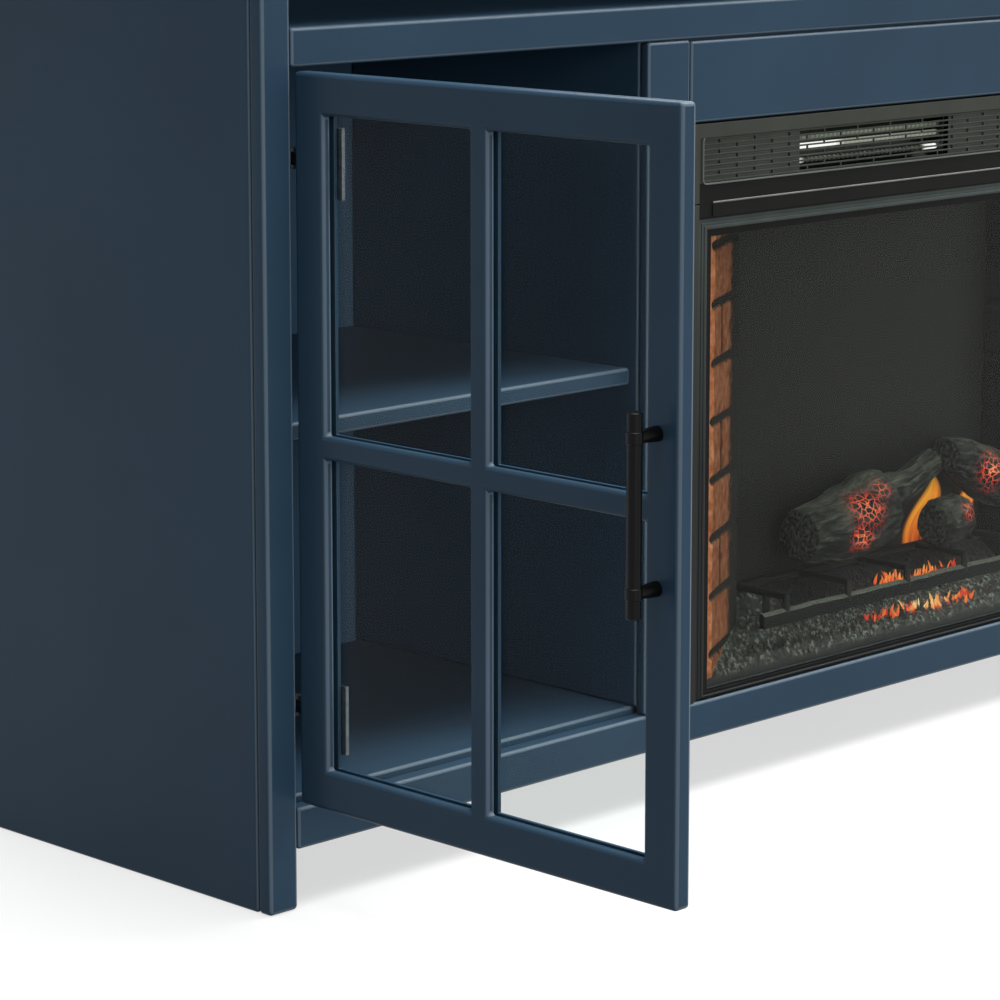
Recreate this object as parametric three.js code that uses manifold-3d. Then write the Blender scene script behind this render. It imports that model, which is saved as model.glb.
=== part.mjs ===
// A painted TV stand with a glazed cabinet at each end and an electric fireplace in the middle.
// Millimetres. X runs along the front from left to right, Y from the front to the back, Z up.
// The stand is laid out with X = 0 at its left side, Y = 0 at its front face and Z = 0 on the floor.
// The left door is modelled standing open at a right angle, the right door shut.

import * as THREE from 'three';
import { ConvexGeometry } from 'three/addons/geometries/ConvexGeometry.js';
import { mergeVertices } from 'three/addons/utils/BufferGeometryUtils.js';
import Module from 'manifold-3d';

// Carcass widths, from the outside towards the fireplace.
const postWide = 30;
const doorBayWide = 403;
const stileWide = 53;
const hearthWide = 652;

// Carcass heights, from the floor up.
const floorClearance = 48.5;
const bottomRailHigh = 33.8;
const doorBayHigh = 583.5;
const topRailHigh = 30.2;
const mediaBayHigh = 130;
const topThick = 25;

// Carcass depths and thicknesses.
const carcassDeep = 375;
const panelThick = 15;
const postThick = 15;
const faceThick = 10.5;
const bottomRailThick = 16.3;
const backThick = 6;
const topOverhang = 12;
const floorAboveRail = 6;
const floorBoardSetback = 16.6;
const mediaUprightSetback = 30;
const shelfHeight = 372;
const shelfSetback = 18;
const shelfSideClearance = 1.5;
const easedEdge = 3;

// Between two boards that are glued or screwed together there is a hair line.
const seam = 0.3;
const centrePanelSideGap = 0.9;
const centrePanelTopGap = 1.5;

// Shelf pins and the leg under the middle.
const pinRadius = 2.5;
const pinOut = 9;
const pinInset = 45;
const legWide = 60;
const legDeep = 60;
const legSetback = 150;

// Doors.
const doorSideGap = 2.5;
const doorBottomGap = 5.2;
const doorTopGap = 2.4;
const doorThick = 15.7;
const doorStileWide = 32;
const doorRailWide = 32;
const glazingBarWide = 18.5;
const glassBehindFace = 9.3;
const glassThick = 2.3;
const glassOverlap = 7;
const retainerThick = 3;
const openAngle = 90;

// Bar pull.
const pullLong = 147;
const pullRadius = 5.5;
const pullOffFace = 24;
const pullCollarRadius = 6.2;
const pullCollarLong = 8.7;
const pullPostSpacing = 111;
const pullPostOuterRadius = 5.75;
const pullPostInnerRadius = 4.4;
const pullFromFreeEdge = 20.2;

// Concealed hinges. The pivot of the door is on the post's inner front corner.
const hingeFromMiddle = 218;
const cupRadius = 12;
const cupWellDeep = 2.2;
const flangeWide = 29.5;
const flangeHigh = 55;
const flangeThick = 3.2;
const flangeFromEdge = 7;
const cheekLong = 11;
const cheekThick = 3;
const cheekHigh = 4;
const cheekPlay = 0.4;
const hingePinX = 25.6;
const hingePinY = 24;
const hingeBarrelRadius = 2.2;
const linkThick = 2;
const linkBehindPin = 1.9;
const linkLong = 38;
const linkHigh = 10;
const hingeEarThick = 3;
const hingeEarRadius = 2.8;
const hingeArmThick = 9;
const hingeArmDeep = 72;
const hingePlateHigh = 32;
const hingePlateThick = 2;
const hingeBlockHigh = 60;
const hingeBlockDeep = 62;

// Fireplace insert: face, vent, window and case.
const insertSideGap = 2.5;
const insertBottomGap = 0.5;
const insertTopGap = 1.4;
const insertHigh = 509.6;
const insertFaceSetback = 0.5;
const insertFaceThick = 5.5;
const windowSideBorder = 30;
const windowBottomBorder = 6.2;
const windowHigh = 410;
const ventSideBorder = 16;
const ventTopBorder = 12.4;
const ventHigh = 39;
const ventThick = 3;
const ventRows = 8;
const ventRibSpacing = 46.6;
const ventRibWide = 2.2;
const ventBarHigh = 1.5;
const ventEdge = 1.8;
const insertGlassThick = 3;
const insertGlassOverlap = 4.5;
const caseSideInset = 9;
const caseTopInset = 6;
const caseDeep = 230;
const sheetThick = 1.5;
const ductFloorAboveWindow = 13;

// Firebox behind the glass.
const linerThick = 12;
const linerSplayWide = 92;
const linerSplayDeep = 44;
const linerStraightDeep = 26;
const linerInset = 5;
const screenThick = 2;
const bedFrontHigh = 9;
const bedBackHigh = 60;
const bedClearance = 0.7;
const grateBarRadius = 3.5;
const grateTopHigh = 67;
const grateBarHigh = 48;
const grateBars = 5;
const grateOverhang = 33.5;
const grateDeep = 60;
const logRadius = 34;

// Heater and blower above the firebox.
const heaterWide = 216;
const heaterFromCentre = 66;
const heaterRodRadius = 2.5;
const heaterEndThick = 3;
const heaterDeep = 18;
const heaterHigh = 66;
const heaterRodHeights = [35, 48, 56];
const heaterReflectorFrom = 26;
const blowerRadius = 22;
const blowerLong = 190;
const blowerBlades = 12;
const bladeThick = 1.5;
const bladeWide = 6;
const discThick = 2;
const shaftRadius = 3;
const shaftPlay = 0.3;
const motorRadius = 21;
const motorLong = 40;
const bracketThick = 2.5;
const bracketDeep = 46;
const blowerHigh = 35;
const runningGap = 2;
const shaftStub = 8;
const blowerFromFront = 90;

// Flame-effect spindle behind the screen.
const spindleLong = 420;
const spindleFromFront = 150;
const spindleHigh = 60;
const finWide = 24;
const finThick = 1;
const finLong = 44;
const finCount = 7;
const spindleMotorRadius = 18;
const spindleMotorLong = 30;

// Push buttons at the right end of the band under the vent, and the strain relief at the back.
const buttonRadius = 4;
const buttonPlay = 0.3;
const buttonOut = 2;
const buttonCollarRadius = 5.5;
const buttonCollarThick = 1.2;
const buttonFromRight = 96;
const buttonPitch = 22;
const buttonBelowVent = 11;
const glandRadius = 9;
const glandLong = 14;
const glandFromSide = 40;
const glandHigh = 50;

// How finely round things are divided, and how far a cutter runs past what it cuts.
const sidesFine = 20;
const sidesPlain = 12;
const sidesCoarse = 8;
const logSides = 10;
const overrun = 1;

// Places that follow from the sizes above.
const cabinetWide = 2 * (postWide + doorBayWide + stileWide) + hearthWide;
const bayRight = postWide + doorBayWide;
const stileRight = bayRight + stileWide;
const railTop = floorClearance + bottomRailHigh;
const bayTop = railTop + doorBayHigh;
const mediaFloor = bayTop + topRailHigh;
const topUnder = mediaFloor + mediaBayHigh;
const cabinetFloor = railTop + floorAboveRail;
const backInside = carcassDeep - backThick;
const doorWide = doorBayWide - 2 * doorSideGap;
const doorBottom = railTop + doorBottomGap;
const doorHigh = bayTop - doorTopGap - doorBottom;
const doorMiddle = doorHigh / 2;
const insertLeft = stileRight + insertSideGap;
const insertWide = hearthWide - 2 * insertSideGap;
const insertBottom = railTop + insertBottomGap;
const insertCentre = cabinetWide / 2;
const insertTop = insertBottom + insertHigh;
const windowLeft = insertLeft + windowSideBorder;
const windowRight = insertLeft + insertWide - windowSideBorder;
const windowBottom = insertBottom + windowBottomBorder;
const windowTop = windowBottom + windowHigh;
const ventTop = insertTop - ventTopBorder;
const ventBottom = ventTop - ventHigh;
const insertGlassFront = insertFaceSetback + insertFaceThick + seam;
const insideFront = insertGlassFront + insertGlassThick + seam;
const caseBottom = cabinetFloor + seam;
const caseTop = insertTop - caseTopInset;
const caseLeft = insertLeft + caseSideInset;
const caseWide = insertWide - 2 * caseSideInset;
const fireFloor = caseBottom + sheetThick + seam;
const ductFloor = windowTop + ductFloorAboveWindow;
const heaterCentre = insertCentre - heaterFromCentre;
const screenLeft = windowLeft + linerInset + linerSplayWide - linerThick;
const grateReach = insertCentre - screenLeft - grateOverhang;
const grateBarPitch = 2 * grateReach / (grateBars - 1);

const wasm = await Module();
wasm.setup();

// Finishes.
const finish = (color, roughness, metalness) =>
  new THREE.MeshStandardMaterial({ color, roughness, metalness });
const paint = finish('#34495a', 0.5, 0);
const blackMetal = finish('#141416', 0.4, 0.6);
const nickel = finish('#9a9c9e', 0.35, 0.9);
const clearGlass = new THREE.MeshStandardMaterial({
  color: '#c9d6d8', roughness: 0.05, metalness: 0, transparent: true, opacity: 0.25,
});
const blackPlastic = finish('#26282a', 0.55, 0);
const sheetSteel = finish('#3a3c3d', 0.5, 0.8);
const brick = finish('#a45c34', 0.9, 0);
const soot = finish('#161616', 0.95, 0);
const bark = finish('#2c2a28', 0.95, 0);
const ember = finish('#3a3a38', 0.95, 0);
const brightMetal = finish('#d8d8d4', 0.2, 1);

const stand = new THREE.Group();

// Adds one named piece to a group and hands it back.
function piece(name, geometry, material, group = stand) {
  const mesh = new THREE.Mesh(geometry, material);
  mesh.name = name;
  group.add(mesh);
  return mesh;
}

// A three.js geometry as a solid that can be joined and cut.
function solid(geometry) {
  const bare = geometry.clone();
  bare.deleteAttribute('normal');
  bare.deleteAttribute('uv');
  const merged = mergeVertices(bare);
  return new wasm.Manifold(new wasm.Mesh({
    numProp: 3,
    vertProperties: new Float32Array(merged.attributes.position.array),
    triVerts: new Uint32Array(merged.index.array),
  }));
}

// A cut or joined solid as a three.js geometry again.
function geometryOf(body) {
  const mesh = body.getMesh();
  const geometry = new THREE.BufferGeometry();
  geometry.setAttribute('position', new THREE.BufferAttribute(mesh.vertProperties, 3));
  geometry.setIndex(new THREE.BufferAttribute(mesh.triVerts, 1));
  geometry.computeVertexNormals();
  return geometry;
}

const joined = (...geometries) => geometryOf(geometries.map(solid).reduce((a, b) => a.add(b)));
const cut = (geometry, ...tools) =>
  geometryOf(tools.map(solid).reduce((a, b) => a.subtract(b), solid(geometry)));

// A plain box between two values on each axis.
function box([x0, x1], [y0, y1], [z0, z1]) {
  const geometry = new THREE.BoxGeometry(x1 - x0, y1 - y0, z1 - z0);
  return geometry.translate((x0 + x1) / 2, (y0 + y1) / 2, (z0 + z1) / 2);
}

// A box whose twelve edges are eased, as a sanded and painted board has them: the hull of three
// points at each corner, one drawn in along each pair of axes.
function board(xs, ys, zs, ease = easedEdge) {
  const points = [];
  for (const [x, sx] of [[xs[0], 1], [xs[1], -1]]) {
    for (const [y, sy] of [[ys[0], 1], [ys[1], -1]]) {
      for (const [z, sz] of [[zs[0], 1], [zs[1], -1]]) {
        points.push(new THREE.Vector3(x, y + sy * ease, z + sz * ease));
        points.push(new THREE.Vector3(x + sx * ease, y, z + sz * ease));
        points.push(new THREE.Vector3(x + sx * ease, y + sy * ease, z));
      }
    }
  }
  return new ConvexGeometry(points);
}

// A flat plate with openings right through it, each given by its span along X and along Z.
function plateWith(openings, xs, ys, zs) {
  const through = [ys[0] - overrun, ys[1] + overrun];
  return cut(box(xs, ys, zs), ...openings.map(([x, z]) => box(x, through, z)));
}

const outlineOf = (points) => new THREE.Shape(points.map(([x, y]) => new THREE.Vector2(x, y)));

// An outline drawn on the plan (X and Y), standing from z0 up to z1.
function upright(shape, [z0, z1]) {
  const geometry = new THREE.ExtrudeGeometry(shape, { depth: z1 - z0, bevelEnabled: false });
  return geometry.translate(0, 0, z0);
}

// Round bars along each axis, between two values on that axis.
function barX([x0, x1], y, z, radius, sides = sidesPlain, farRadius = radius) {
  const geometry = new THREE.CylinderGeometry(farRadius, radius, x1 - x0, sides);
  return geometry.rotateZ(-Math.PI / 2).translate((x0 + x1) / 2, y, z);
}
function barY(x, [y0, y1], z, radius, sides = sidesPlain, farRadius = radius) {
  const geometry = new THREE.CylinderGeometry(farRadius, radius, y1 - y0, sides);
  return geometry.translate(x, (y0 + y1) / 2, z);
}
function barZ(x, y, [z0, z1], radius, sides = sidesPlain) {
  const geometry = new THREE.CylinderGeometry(radius, radius, z1 - z0, sides);
  return geometry.rotateX(Math.PI / 2).translate(x, y, (z0 + z1) / 2);
}

// Left and right pieces are laid out once, measured inwards from their own side of the cabinet.
const sides = [
  { name: 'left', across: (a, b) => [a, b], at: (a) => a },
  { name: 'right', across: (a, b) => [cabinetWide - b, cabinetWide - a], at: (a) => cabinetWide - a },
];

// The heights of the two hinges on each door.
const hingeHeights = {
  upper: doorBottom + doorMiddle + hingeFromMiddle,
  lower: doorBottom + doorMiddle - hingeFromMiddle,
};

// Shelf pins stand out of a panel at four places under each shelf.
const pinPlaces = [shelfSetback + pinInset, backInside - pinInset];
const pinHeight = shelfHeight - seam - pinRadius;

function sideBoards({ name, across }) {
  const pinX = across(panelThick - overrun, panelThick + pinOut);
  const pins = pinPlaces.map((y) => barX(pinX, y, pinHeight, pinRadius));
  piece(`${name}_side_panel`, joined(
    board(across(0, panelThick), [postThick + seam, carcassDeep], [0, topUnder - seam]),
    ...pins,
  ), paint);

  const blocks = Object.values(hingeHeights).map((z) => box(
    across(panelThick + seam, postWide),
    [postThick - overrun, postThick + hingeBlockDeep],
    [z - hingeBlockHigh / 2, z + hingeBlockHigh / 2],
  ));
  piece(`${name}_front_post`, joined(
    board(across(0, postWide), [0, postThick], [0, topUnder - seam]),
    ...blocks,
  ), paint);
}

function innerStile({ name, across }) {
  piece(`${name}_inner_stile`, board(
    across(bayRight, stileRight), [0, faceThick], [railTop + seam, bayTop - seam],
  ), paint);
}

function partition({ name, across }) {
  const pinX = across(bayRight - pinOut, bayRight + overrun);
  const pins = pinPlaces.map((y) => barX(pinX, y, pinHeight, pinRadius));
  piece(`${name}_partition`, joined(
    board(
      across(bayRight, bayRight + panelThick), [faceThick + seam, backInside - seam],
      [cabinetFloor + seam, mediaFloor - panelThick - 2 * seam],
    ),
    ...pins,
  ), paint);
}

function adjustableShelf({ name, across }) {
  piece(`${name}_adjustable_shelf`, board(
    across(panelThick + shelfSideClearance, bayRight - shelfSideClearance),
    [shelfSetback, backInside - seam], [shelfHeight, shelfHeight + panelThick],
  ), paint);
}

function cabinetBack({ name, across }) {
  piece(`${name}_back_panel`, box(
    across(panelThick + seam, bayRight + panelThick), [backInside, carcassDeep],
    [cabinetFloor - panelThick, mediaFloor - seam],
  ), paint);
}

function carcassBoards() {
  const full = [panelThick + seam, cabinetWide - panelThick - seam];
  const between = [postWide + seam, cabinetWide - postWide - seam];

  piece('top_board', board(
    [-topOverhang, cabinetWide + topOverhang], [-topOverhang, carcassDeep], [topUnder, topUnder + topThick],
  ), paint);
  piece('top_rail', board(between, [0, faceThick], [bayTop, mediaFloor]), paint);
  piece('bottom_rail', board(between, [0, bottomRailThick], [floorClearance, railTop]), paint);

  // The media shelf runs past the posts at its back and between them at its front.
  const notch = postThick + seam;
  const front = faceThick + seam;
  piece('media_shelf', upright(outlineOf([
    [full[0], notch], [between[0], notch], [between[0], front], [between[1], front],
    [between[1], notch], [full[1], notch], [full[1], backInside - seam], [full[0], backInside - seam],
  ]), [mediaFloor - panelThick - seam, mediaFloor - seam]), paint);

  const middle = cabinetWide / 2;
  piece('media_upright', board(
    [middle - panelThick / 2, middle + panelThick / 2], [mediaUprightSetback, backInside - seam],
    [mediaFloor, topUnder - seam],
  ), paint);
  piece('media_back_panel', box(full, [backInside, carcassDeep], [mediaFloor, topUnder - seam]), paint);
  piece('bottom_board', board(
    full, [floorBoardSetback, backInside - seam], [cabinetFloor - panelThick, cabinetFloor],
  ), paint);

  piece('centre_panel', board(
    [stileRight + centrePanelSideGap, cabinetWide - stileRight - centrePanelSideGap], [0, faceThick],
    [insertTop + insertTopGap, bayTop - centrePanelTopGap],
  ), paint);
  piece('centre_leg', board(
    [middle - legWide / 2, middle + legWide / 2], [legSetback, legSetback + legDeep],
    [0, cabinetFloor - panelThick - seam],
  ), paint);
}

// One door with what is fixed to it. It is drawn shut, from its hinge edge (u = 0) to its free edge,
// from its face (y = 0) to its back, and from its own bottom edge up, in a group set on its pivot.
function door({ name }, turn) {
  const way = name === 'left' ? 1 : -1;
  const across = (a, b) => (way > 0 ? [a, b] : [-b, -a]);
  const edge = doorSideGap;
  const group = new THREE.Group();
  group.position.set(way > 0 ? postWide : cabinetWide - postWide, 0, doorBottom);
  group.rotation.z = turn;
  stand.add(group);

  // The four pane openings, by the stiles, rails and glazing bars around them.
  const paneWide = (doorWide - 2 * doorStileWide - glazingBarWide) / 2;
  const paneHigh = (doorHigh - 2 * doorRailWide - glazingBarWide) / 2;
  const columns = [doorStileWide, doorStileWide + paneWide + glazingBarWide];
  const rows = [doorRailWide, doorRailWide + paneHigh + glazingBarWide];
  const pane = (u, z) => [across(edge + u, edge + u + paneWide), [z, z + paneHigh]];
  const panes = columns.flatMap((u) => rows.map((z) => pane(u, z)));
  const sheet = (margin) => [
    across(edge + doorStileWide - margin, edge + doorWide - doorStileWide + margin),
    [doorRailWide - margin, doorHigh - doorRailWide + margin],
  ];

  const around = across(edge, edge + doorWide);
  const high = [0, doorHigh];
  const cupX = way * (edge + flangeFromEdge + flangeWide / 2);
  piece(`${name}_door_frame`, joined(
    plateWith(panes, around, [0, glassBehindFace], high),
    plateWith([sheet(glassOverlap)], around, [glassBehindFace, doorThick], high),
  ), paint, group);

  const glassFront = glassBehindFace + seam;
  const glassBack = glassFront + glassThick;
  const [sheetX, sheetZ] = sheet(glassOverlap - seam);
  piece(`${name}_door_glass`, box(sheetX, [glassFront, glassBack], sheetZ), clearGlass, group);
  const retainerY = [glassBack + seam, glassBack + seam + retainerThick];
  piece(`${name}_glass_retainer`, plateWith(panes, sheetX, retainerY, sheetZ), paint, group);

  // The bar pull: a round bar with two collars on two tapered posts.
  const pullX = way * (edge + doorWide - pullFromFreeEdge);
  const spanAbout = (z, long) => [z - long / 2, z + long / 2];
  const pullParts = [barZ(pullX, -pullOffFace, spanAbout(doorMiddle, pullLong), pullRadius)];
  for (const z of spanAbout(doorMiddle, pullPostSpacing)) {
    const post = [-pullOffFace, -seam];
    pullParts.push(barZ(pullX, -pullOffFace, spanAbout(z, pullCollarLong), pullCollarRadius));
    pullParts.push(barY(pullX, post, z, pullPostInnerRadius, sidesPlain, pullPostOuterRadius));
  }
  piece(`${name}_door_pull`, joined(...pullParts), blackMetal, group);

  // The hinge cups: a flange on the door's back with a well, and two cheeks that guide the link.
  for (const [place, height] of Object.entries(hingeHeights)) {
    const z = height - doorBottom;
    const flange = box(
      across(edge + flangeFromEdge, edge + flangeFromEdge + flangeWide),
      [doorThick + seam, doorThick + seam + flangeThick], [z - flangeHigh / 2, z + flangeHigh / 2],
    );
    const flangeFace = doorThick + seam + flangeThick;
    const well = barY(cupX, [flangeFace - cupWellDeep, flangeFace + overrun], z, cupRadius, sidesFine);
    const cheekFrom = linkHigh / 2 + cheekPlay;
    const cheekY = [flangeFace - flangeThick / 2, flangeFace + cheekHigh];
    const cheeks = [cheekFrom, -cheekFrom - cheekThick].map((from) => box(
      across(edge + flangeFromEdge, edge + flangeFromEdge + cheekLong), cheekY,
      [z + from, z + from + cheekThick],
    ));
    piece(`${name}_${place}_hinge_cup`, joined(cut(flange, well), ...cheeks), nickel, group);
  }
}

// The arm of one hinge on its block, and the link that joins it to the cup. Both are drawn for a
// shut left door, measured from the pivot, and mirrored for the right one.
function hinge({ name }, place, z, turn) {
  const way = name === 'left' ? 1 : -1;
  const pivotX = way > 0 ? postWide : cabinetWide - postWide;
  const mirrored = (points) => points.map(([x, y]) => [way * x, y]);
  const placed = (geometry) => geometry.translate(pivotX, 0, z);
  const [px, py, ear] = [hingePinX, hingePinY, hingeEarRadius];

  // The arm runs from its plate to the two ears that hold the pin.
  const armHalf = linkHigh / 2 + seam + hingeEarThick;
  const plateFace = seam + hingePlateThick;
  const armFace = plateFace + hingeArmThick;
  const neck = py + hingeArmThick + ear;
  const arm = outlineOf(mirrored([
    [plateFace - hingePlateThick / 2, neck], [armFace, neck],
    [px - ear, py], [px - ear / 2, py - ear], [px + ear / 2, py - ear], [px + ear, py], [px + ear, py + ear],
    [armFace + ear, neck + hingeArmThick], [armFace, neck + 2 * hingeArmThick],
    [armFace, hingeArmDeep], [plateFace - hingePlateThick / 2, hingeArmDeep],
  ]));
  const plate = box(
    way > 0 ? [seam, plateFace] : [-plateFace, -seam], [neck, hingeArmDeep + ear],
    [-hingePlateHigh / 2, hingePlateHigh / 2],
  );
  const slotHalf = linkHigh / 2 + seam;
  const slotX = [px - 2 * hingeBarrelRadius - ear / 2, px + 2 * ear];
  const slot = box(
    way > 0 ? slotX : [-slotX[1], -slotX[0]], [py - 2 * ear, py + 2 * hingeBarrelRadius + ear / 2],
    [-slotHalf, slotHalf],
  );
  const armBody = cut(joined(upright(arm, [-armHalf, armHalf]), plate), slot);
  piece(`${name}_${place}_hinge_arm`, placed(armBody), nickel);

  // The link: a barrel on the pin and a flat strip that lies along the door's back.
  const strip = [
    [-hingeBarrelRadius, -linkBehindPin - linkThick], [linkLong, -linkBehindPin - linkThick],
    [linkLong, -linkBehindPin], [hingeBarrelRadius, -linkBehindPin], [hingeBarrelRadius, 0],
    [-hingeBarrelRadius, 0],
  ];
  const link = joined(
    upright(outlineOf(mirrored(strip)), [-linkHigh / 2, linkHigh / 2]),
    barZ(0, 0, [-linkHigh / 2, linkHigh / 2], hingeBarrelRadius),
  );
  const mesh = piece(`${name}_${place}_hinge_link`, link, nickel);
  mesh.position.set(pivotX + way * px, py, z);
  mesh.rotation.z = turn;
}

// The face of the insert: one black frame around the vent and the window, with two button holes.
const buttonX = [0, 1].map((n) => insertLeft + insertWide - buttonFromRight + n * buttonPitch);
const buttonZ = ventBottom - buttonBelowVent;

function insertFace() {
  const y = [insertFaceSetback, insertFaceSetback + insertFaceThick];
  const plate = plateWith([
    [[windowLeft, windowRight], [windowBottom, windowTop]],
    [[insertLeft + ventSideBorder, insertLeft + insertWide - ventSideBorder], [ventBottom, ventTop]],
  ], [insertLeft, insertLeft + insertWide], y, [insertBottom, insertTop]);
  const through = [y[0] - overrun, y[1] + overrun];
  const holes = buttonX.map((x) => barY(x, through, buttonZ, buttonRadius + buttonPlay));
  piece('insert_face', cut(plate, ...holes), blackPlastic);

  const glassX = [windowLeft - insertGlassOverlap, windowRight + insertGlassOverlap];
  const glassY = [insertGlassFront, insertGlassFront + insertGlassThick];
  const glassZ = [windowBottom - insertGlassOverlap, windowTop + insertGlassOverlap];
  piece('insert_glass', box(glassX, glassY, glassZ), clearGlass);
}

// The vent: rows of slots between thin bars, with ribs that are staggered from row to row.
function ventGrille() {
  const x0 = insertLeft + ventSideBorder + seam;
  const x1 = insertLeft + insertWide - ventSideBorder - seam;
  const z0 = ventBottom + seam;
  const z1 = ventTop - seam;
  const rowPitch = (z1 - z0 - 2 * ventEdge + ventBarHigh) / ventRows;
  const slots = [];
  for (let row = 0; row < ventRows; row += 1) {
    const low = z0 + ventEdge + row * rowPitch;
    const ribs = [];
    const first = x0 + (row % 2 ? ventRibSpacing / 2 : ventRibSpacing);
    for (let x = first; x < x1 - ventRibSpacing / 4; x += ventRibSpacing) ribs.push(x);
    const starts = [x0 + ventEdge, ...ribs.map((x) => x + ventRibWide / 2)];
    const ends = [...ribs.map((x) => x - ventRibWide / 2), x1 - ventEdge];
    starts.forEach((start, n) => slots.push([[start, ends[n]], [low, low + rowPitch - ventBarHigh]]));
  }
  const y0 = insertFaceSetback + (insertFaceThick - ventThick) / 2;
  piece('vent_grille', plateWith(slots, [x0, x1], [y0, y0 + ventThick], [z0, z1]), blackPlastic);
}

// The steel case: a box open at the front, a floor under the heater, and a strain relief at the back.
function insertCase() {
  const x = [caseLeft, caseLeft + caseWide];
  const y = [insideFront, insideFront + caseDeep];
  const z = [caseBottom, caseTop];
  const insideX = [x[0] + sheetThick, x[1] - sheetThick];
  const insideY = [y[0] - overrun, y[1] - sheetThick];
  const shell = cut(
    box(x, y, z),
    box(insideX, insideY, [z[0] + sheetThick, ductFloor]),
    box(insideX, insideY, [ductFloor + sheetThick, z[1] - sheetThick]),
  );
  const glandY = [y[1] - sheetThick / 2, y[1] + glandLong];
  const gland = barY(x[1] - glandFromSide, glandY, z[0] + glandHigh, glandRadius);
  piece('insert_case', joined(shell, gland), sheetSteel);
}

// The firebox: two brick liners that splay and then run straight back, a dark screen across the
// back, a sloping bed of embers.
const linerFront = insideFront + seam;
const linerBend = linerFront + linerSplayDeep;
const linerBack = linerBend + linerStraightDeep;

function firebox() {
  const edge = windowLeft + linerInset;
  const line = (inset) => [
    [edge + inset, linerFront], [edge + linerSplayWide + inset, linerBend],
    [edge + linerSplayWide + inset, linerBack],
  ];
  for (const { name, at } of sides) {
    const plan = [...line(0), ...line(-linerThick).reverse()];
    piece(`${name}_brick_liner`, upright(
      outlineOf(plan.map(([x, y]) => [at(x), y])), [fireFloor, ductFloor - seam],
    ), brick);
  }

  piece('flame_screen', box(
    [screenLeft, cabinetWide - screenLeft], [linerBack + seam, linerBack + seam + screenThick],
    [fireFloor, ductFloor - seam],
  ), soot);

  // The bed's section rises to the back, and its ends follow the liners.
  const bedSide = line(bedClearance);
  const bedBack = linerBack - seam;
  bedSide[bedSide.length - 1][1] = bedBack;
  const opposite = bedSide.map(([x, y]) => [cabinetWide - x, y]).reverse();
  const plan = upright(outlineOf([...bedSide, ...opposite]), [fireFloor, fireFloor + bedBackHigh + overrun]);
  const past = [linerFront - overrun, bedBack + overrun];
  const section = new THREE.ExtrudeGeometry(outlineOf([
    [past[0], -overrun], [past[1], -overrun], [past[1], bedBackHigh], [past[0], bedFrontHigh],
  ]), { depth: cabinetWide, bevelEnabled: false });
  section.rotateX(Math.PI / 2).rotateZ(Math.PI / 2).translate(0, 0, fireFloor);
  piece('ember_bed', geometryOf(solid(plan).intersect(solid(section))), ember);
}

// The grate: a front bar, cross bars that carry the logs, a back bar and four short legs.
function fireGrate() {
  const y0 = insideFront + seam + grateBarRadius;
  const y1 = y0 + grateDeep;
  const top = fireFloor + grateTopHigh - grateBarRadius;
  const bedTop = (y) => fireFloor + bedFrontHigh
    + (bedBackHigh - bedFrontHigh) * Math.min(1, (y - insideFront) / (linerBack - linerFront - seam));
  const bars = [
    barX([insertCentre - grateReach - grateOverhang, insertCentre + grateReach + grateOverhang], y0,
      fireFloor + grateBarHigh, grateBarRadius, sidesCoarse),
    barX([insertCentre - grateReach, insertCentre + grateReach], y1, top, grateBarRadius, sidesCoarse),
  ];
  for (let n = 0; n < grateBars; n += 1) {
    const x = insertCentre - grateReach + n * grateBarPitch;
    bars.push(barY(x, [y0, y1], top, grateBarRadius, sidesCoarse));
    const stub = [fireFloor + grateBarHigh, top + grateBarRadius];
    bars.push(barZ(x, y0, stub, grateBarRadius, sidesCoarse));
  }
  for (const x of [insertCentre - grateReach, insertCentre + grateReach]) {
    const frontLeg = [bedTop(y0 + grateBarRadius) + seam, fireFloor + grateBarHigh];
    const backLeg = [bedTop(y1 + grateBarRadius) + seam, top];
    bars.push(barZ(x, y0, frontLeg, grateBarRadius, sidesCoarse));
    bars.push(barZ(x, y1, backLeg, grateBarRadius, sidesCoarse));
  }
  piece('fire_grate', joined(...bars), blackMetal);
}

// A log: rings along a spine.
function log(name, spineShares) {
  const rings = spineShares.map(([xShare, yShare, liftShare, radiusShare]) => {
    const radius = radiusShare * logRadius;
    const x = insertCentre + xShare * grateBarPitch;
    const y = insideFront + seam + yShare * grateDeep;
    const z = fireFloor + grateTopHigh + seam + radius + liftShare * logRadius;
    return Array.from({ length: logSides }, (_, n) => {
      const angle = -Math.PI / 2 + 2 * Math.PI * n / logSides;
      return [x, y + radius * Math.cos(angle), z + radius * Math.sin(angle)];
    });
  });
  const triangles = [];
  const quad = (a, b, c, d) => triangles.push(a, b, c, a, c, d);
  for (let k = 0; k + 1 < rings.length; k += 1) {
    for (let n = 0; n < logSides; n += 1) {
      const m = (n + 1) % logSides;
      quad(rings[k][n], rings[k][m], rings[k + 1][m], rings[k + 1][n]);
    }
  }
  const last = rings[rings.length - 1];
  for (let n = 1; n + 1 < logSides; n += 1) {
    triangles.push(rings[0][0], rings[0][n + 1], rings[0][n]);
    triangles.push(last[0], last[n], last[n + 1]);
  }
  const geometry = new THREE.BufferGeometry();
  geometry.setAttribute('position', new THREE.Float32BufferAttribute(triangles.flat(), 3));
  geometry.computeVertexNormals();
  piece(name, geometry, bark);
}

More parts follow.
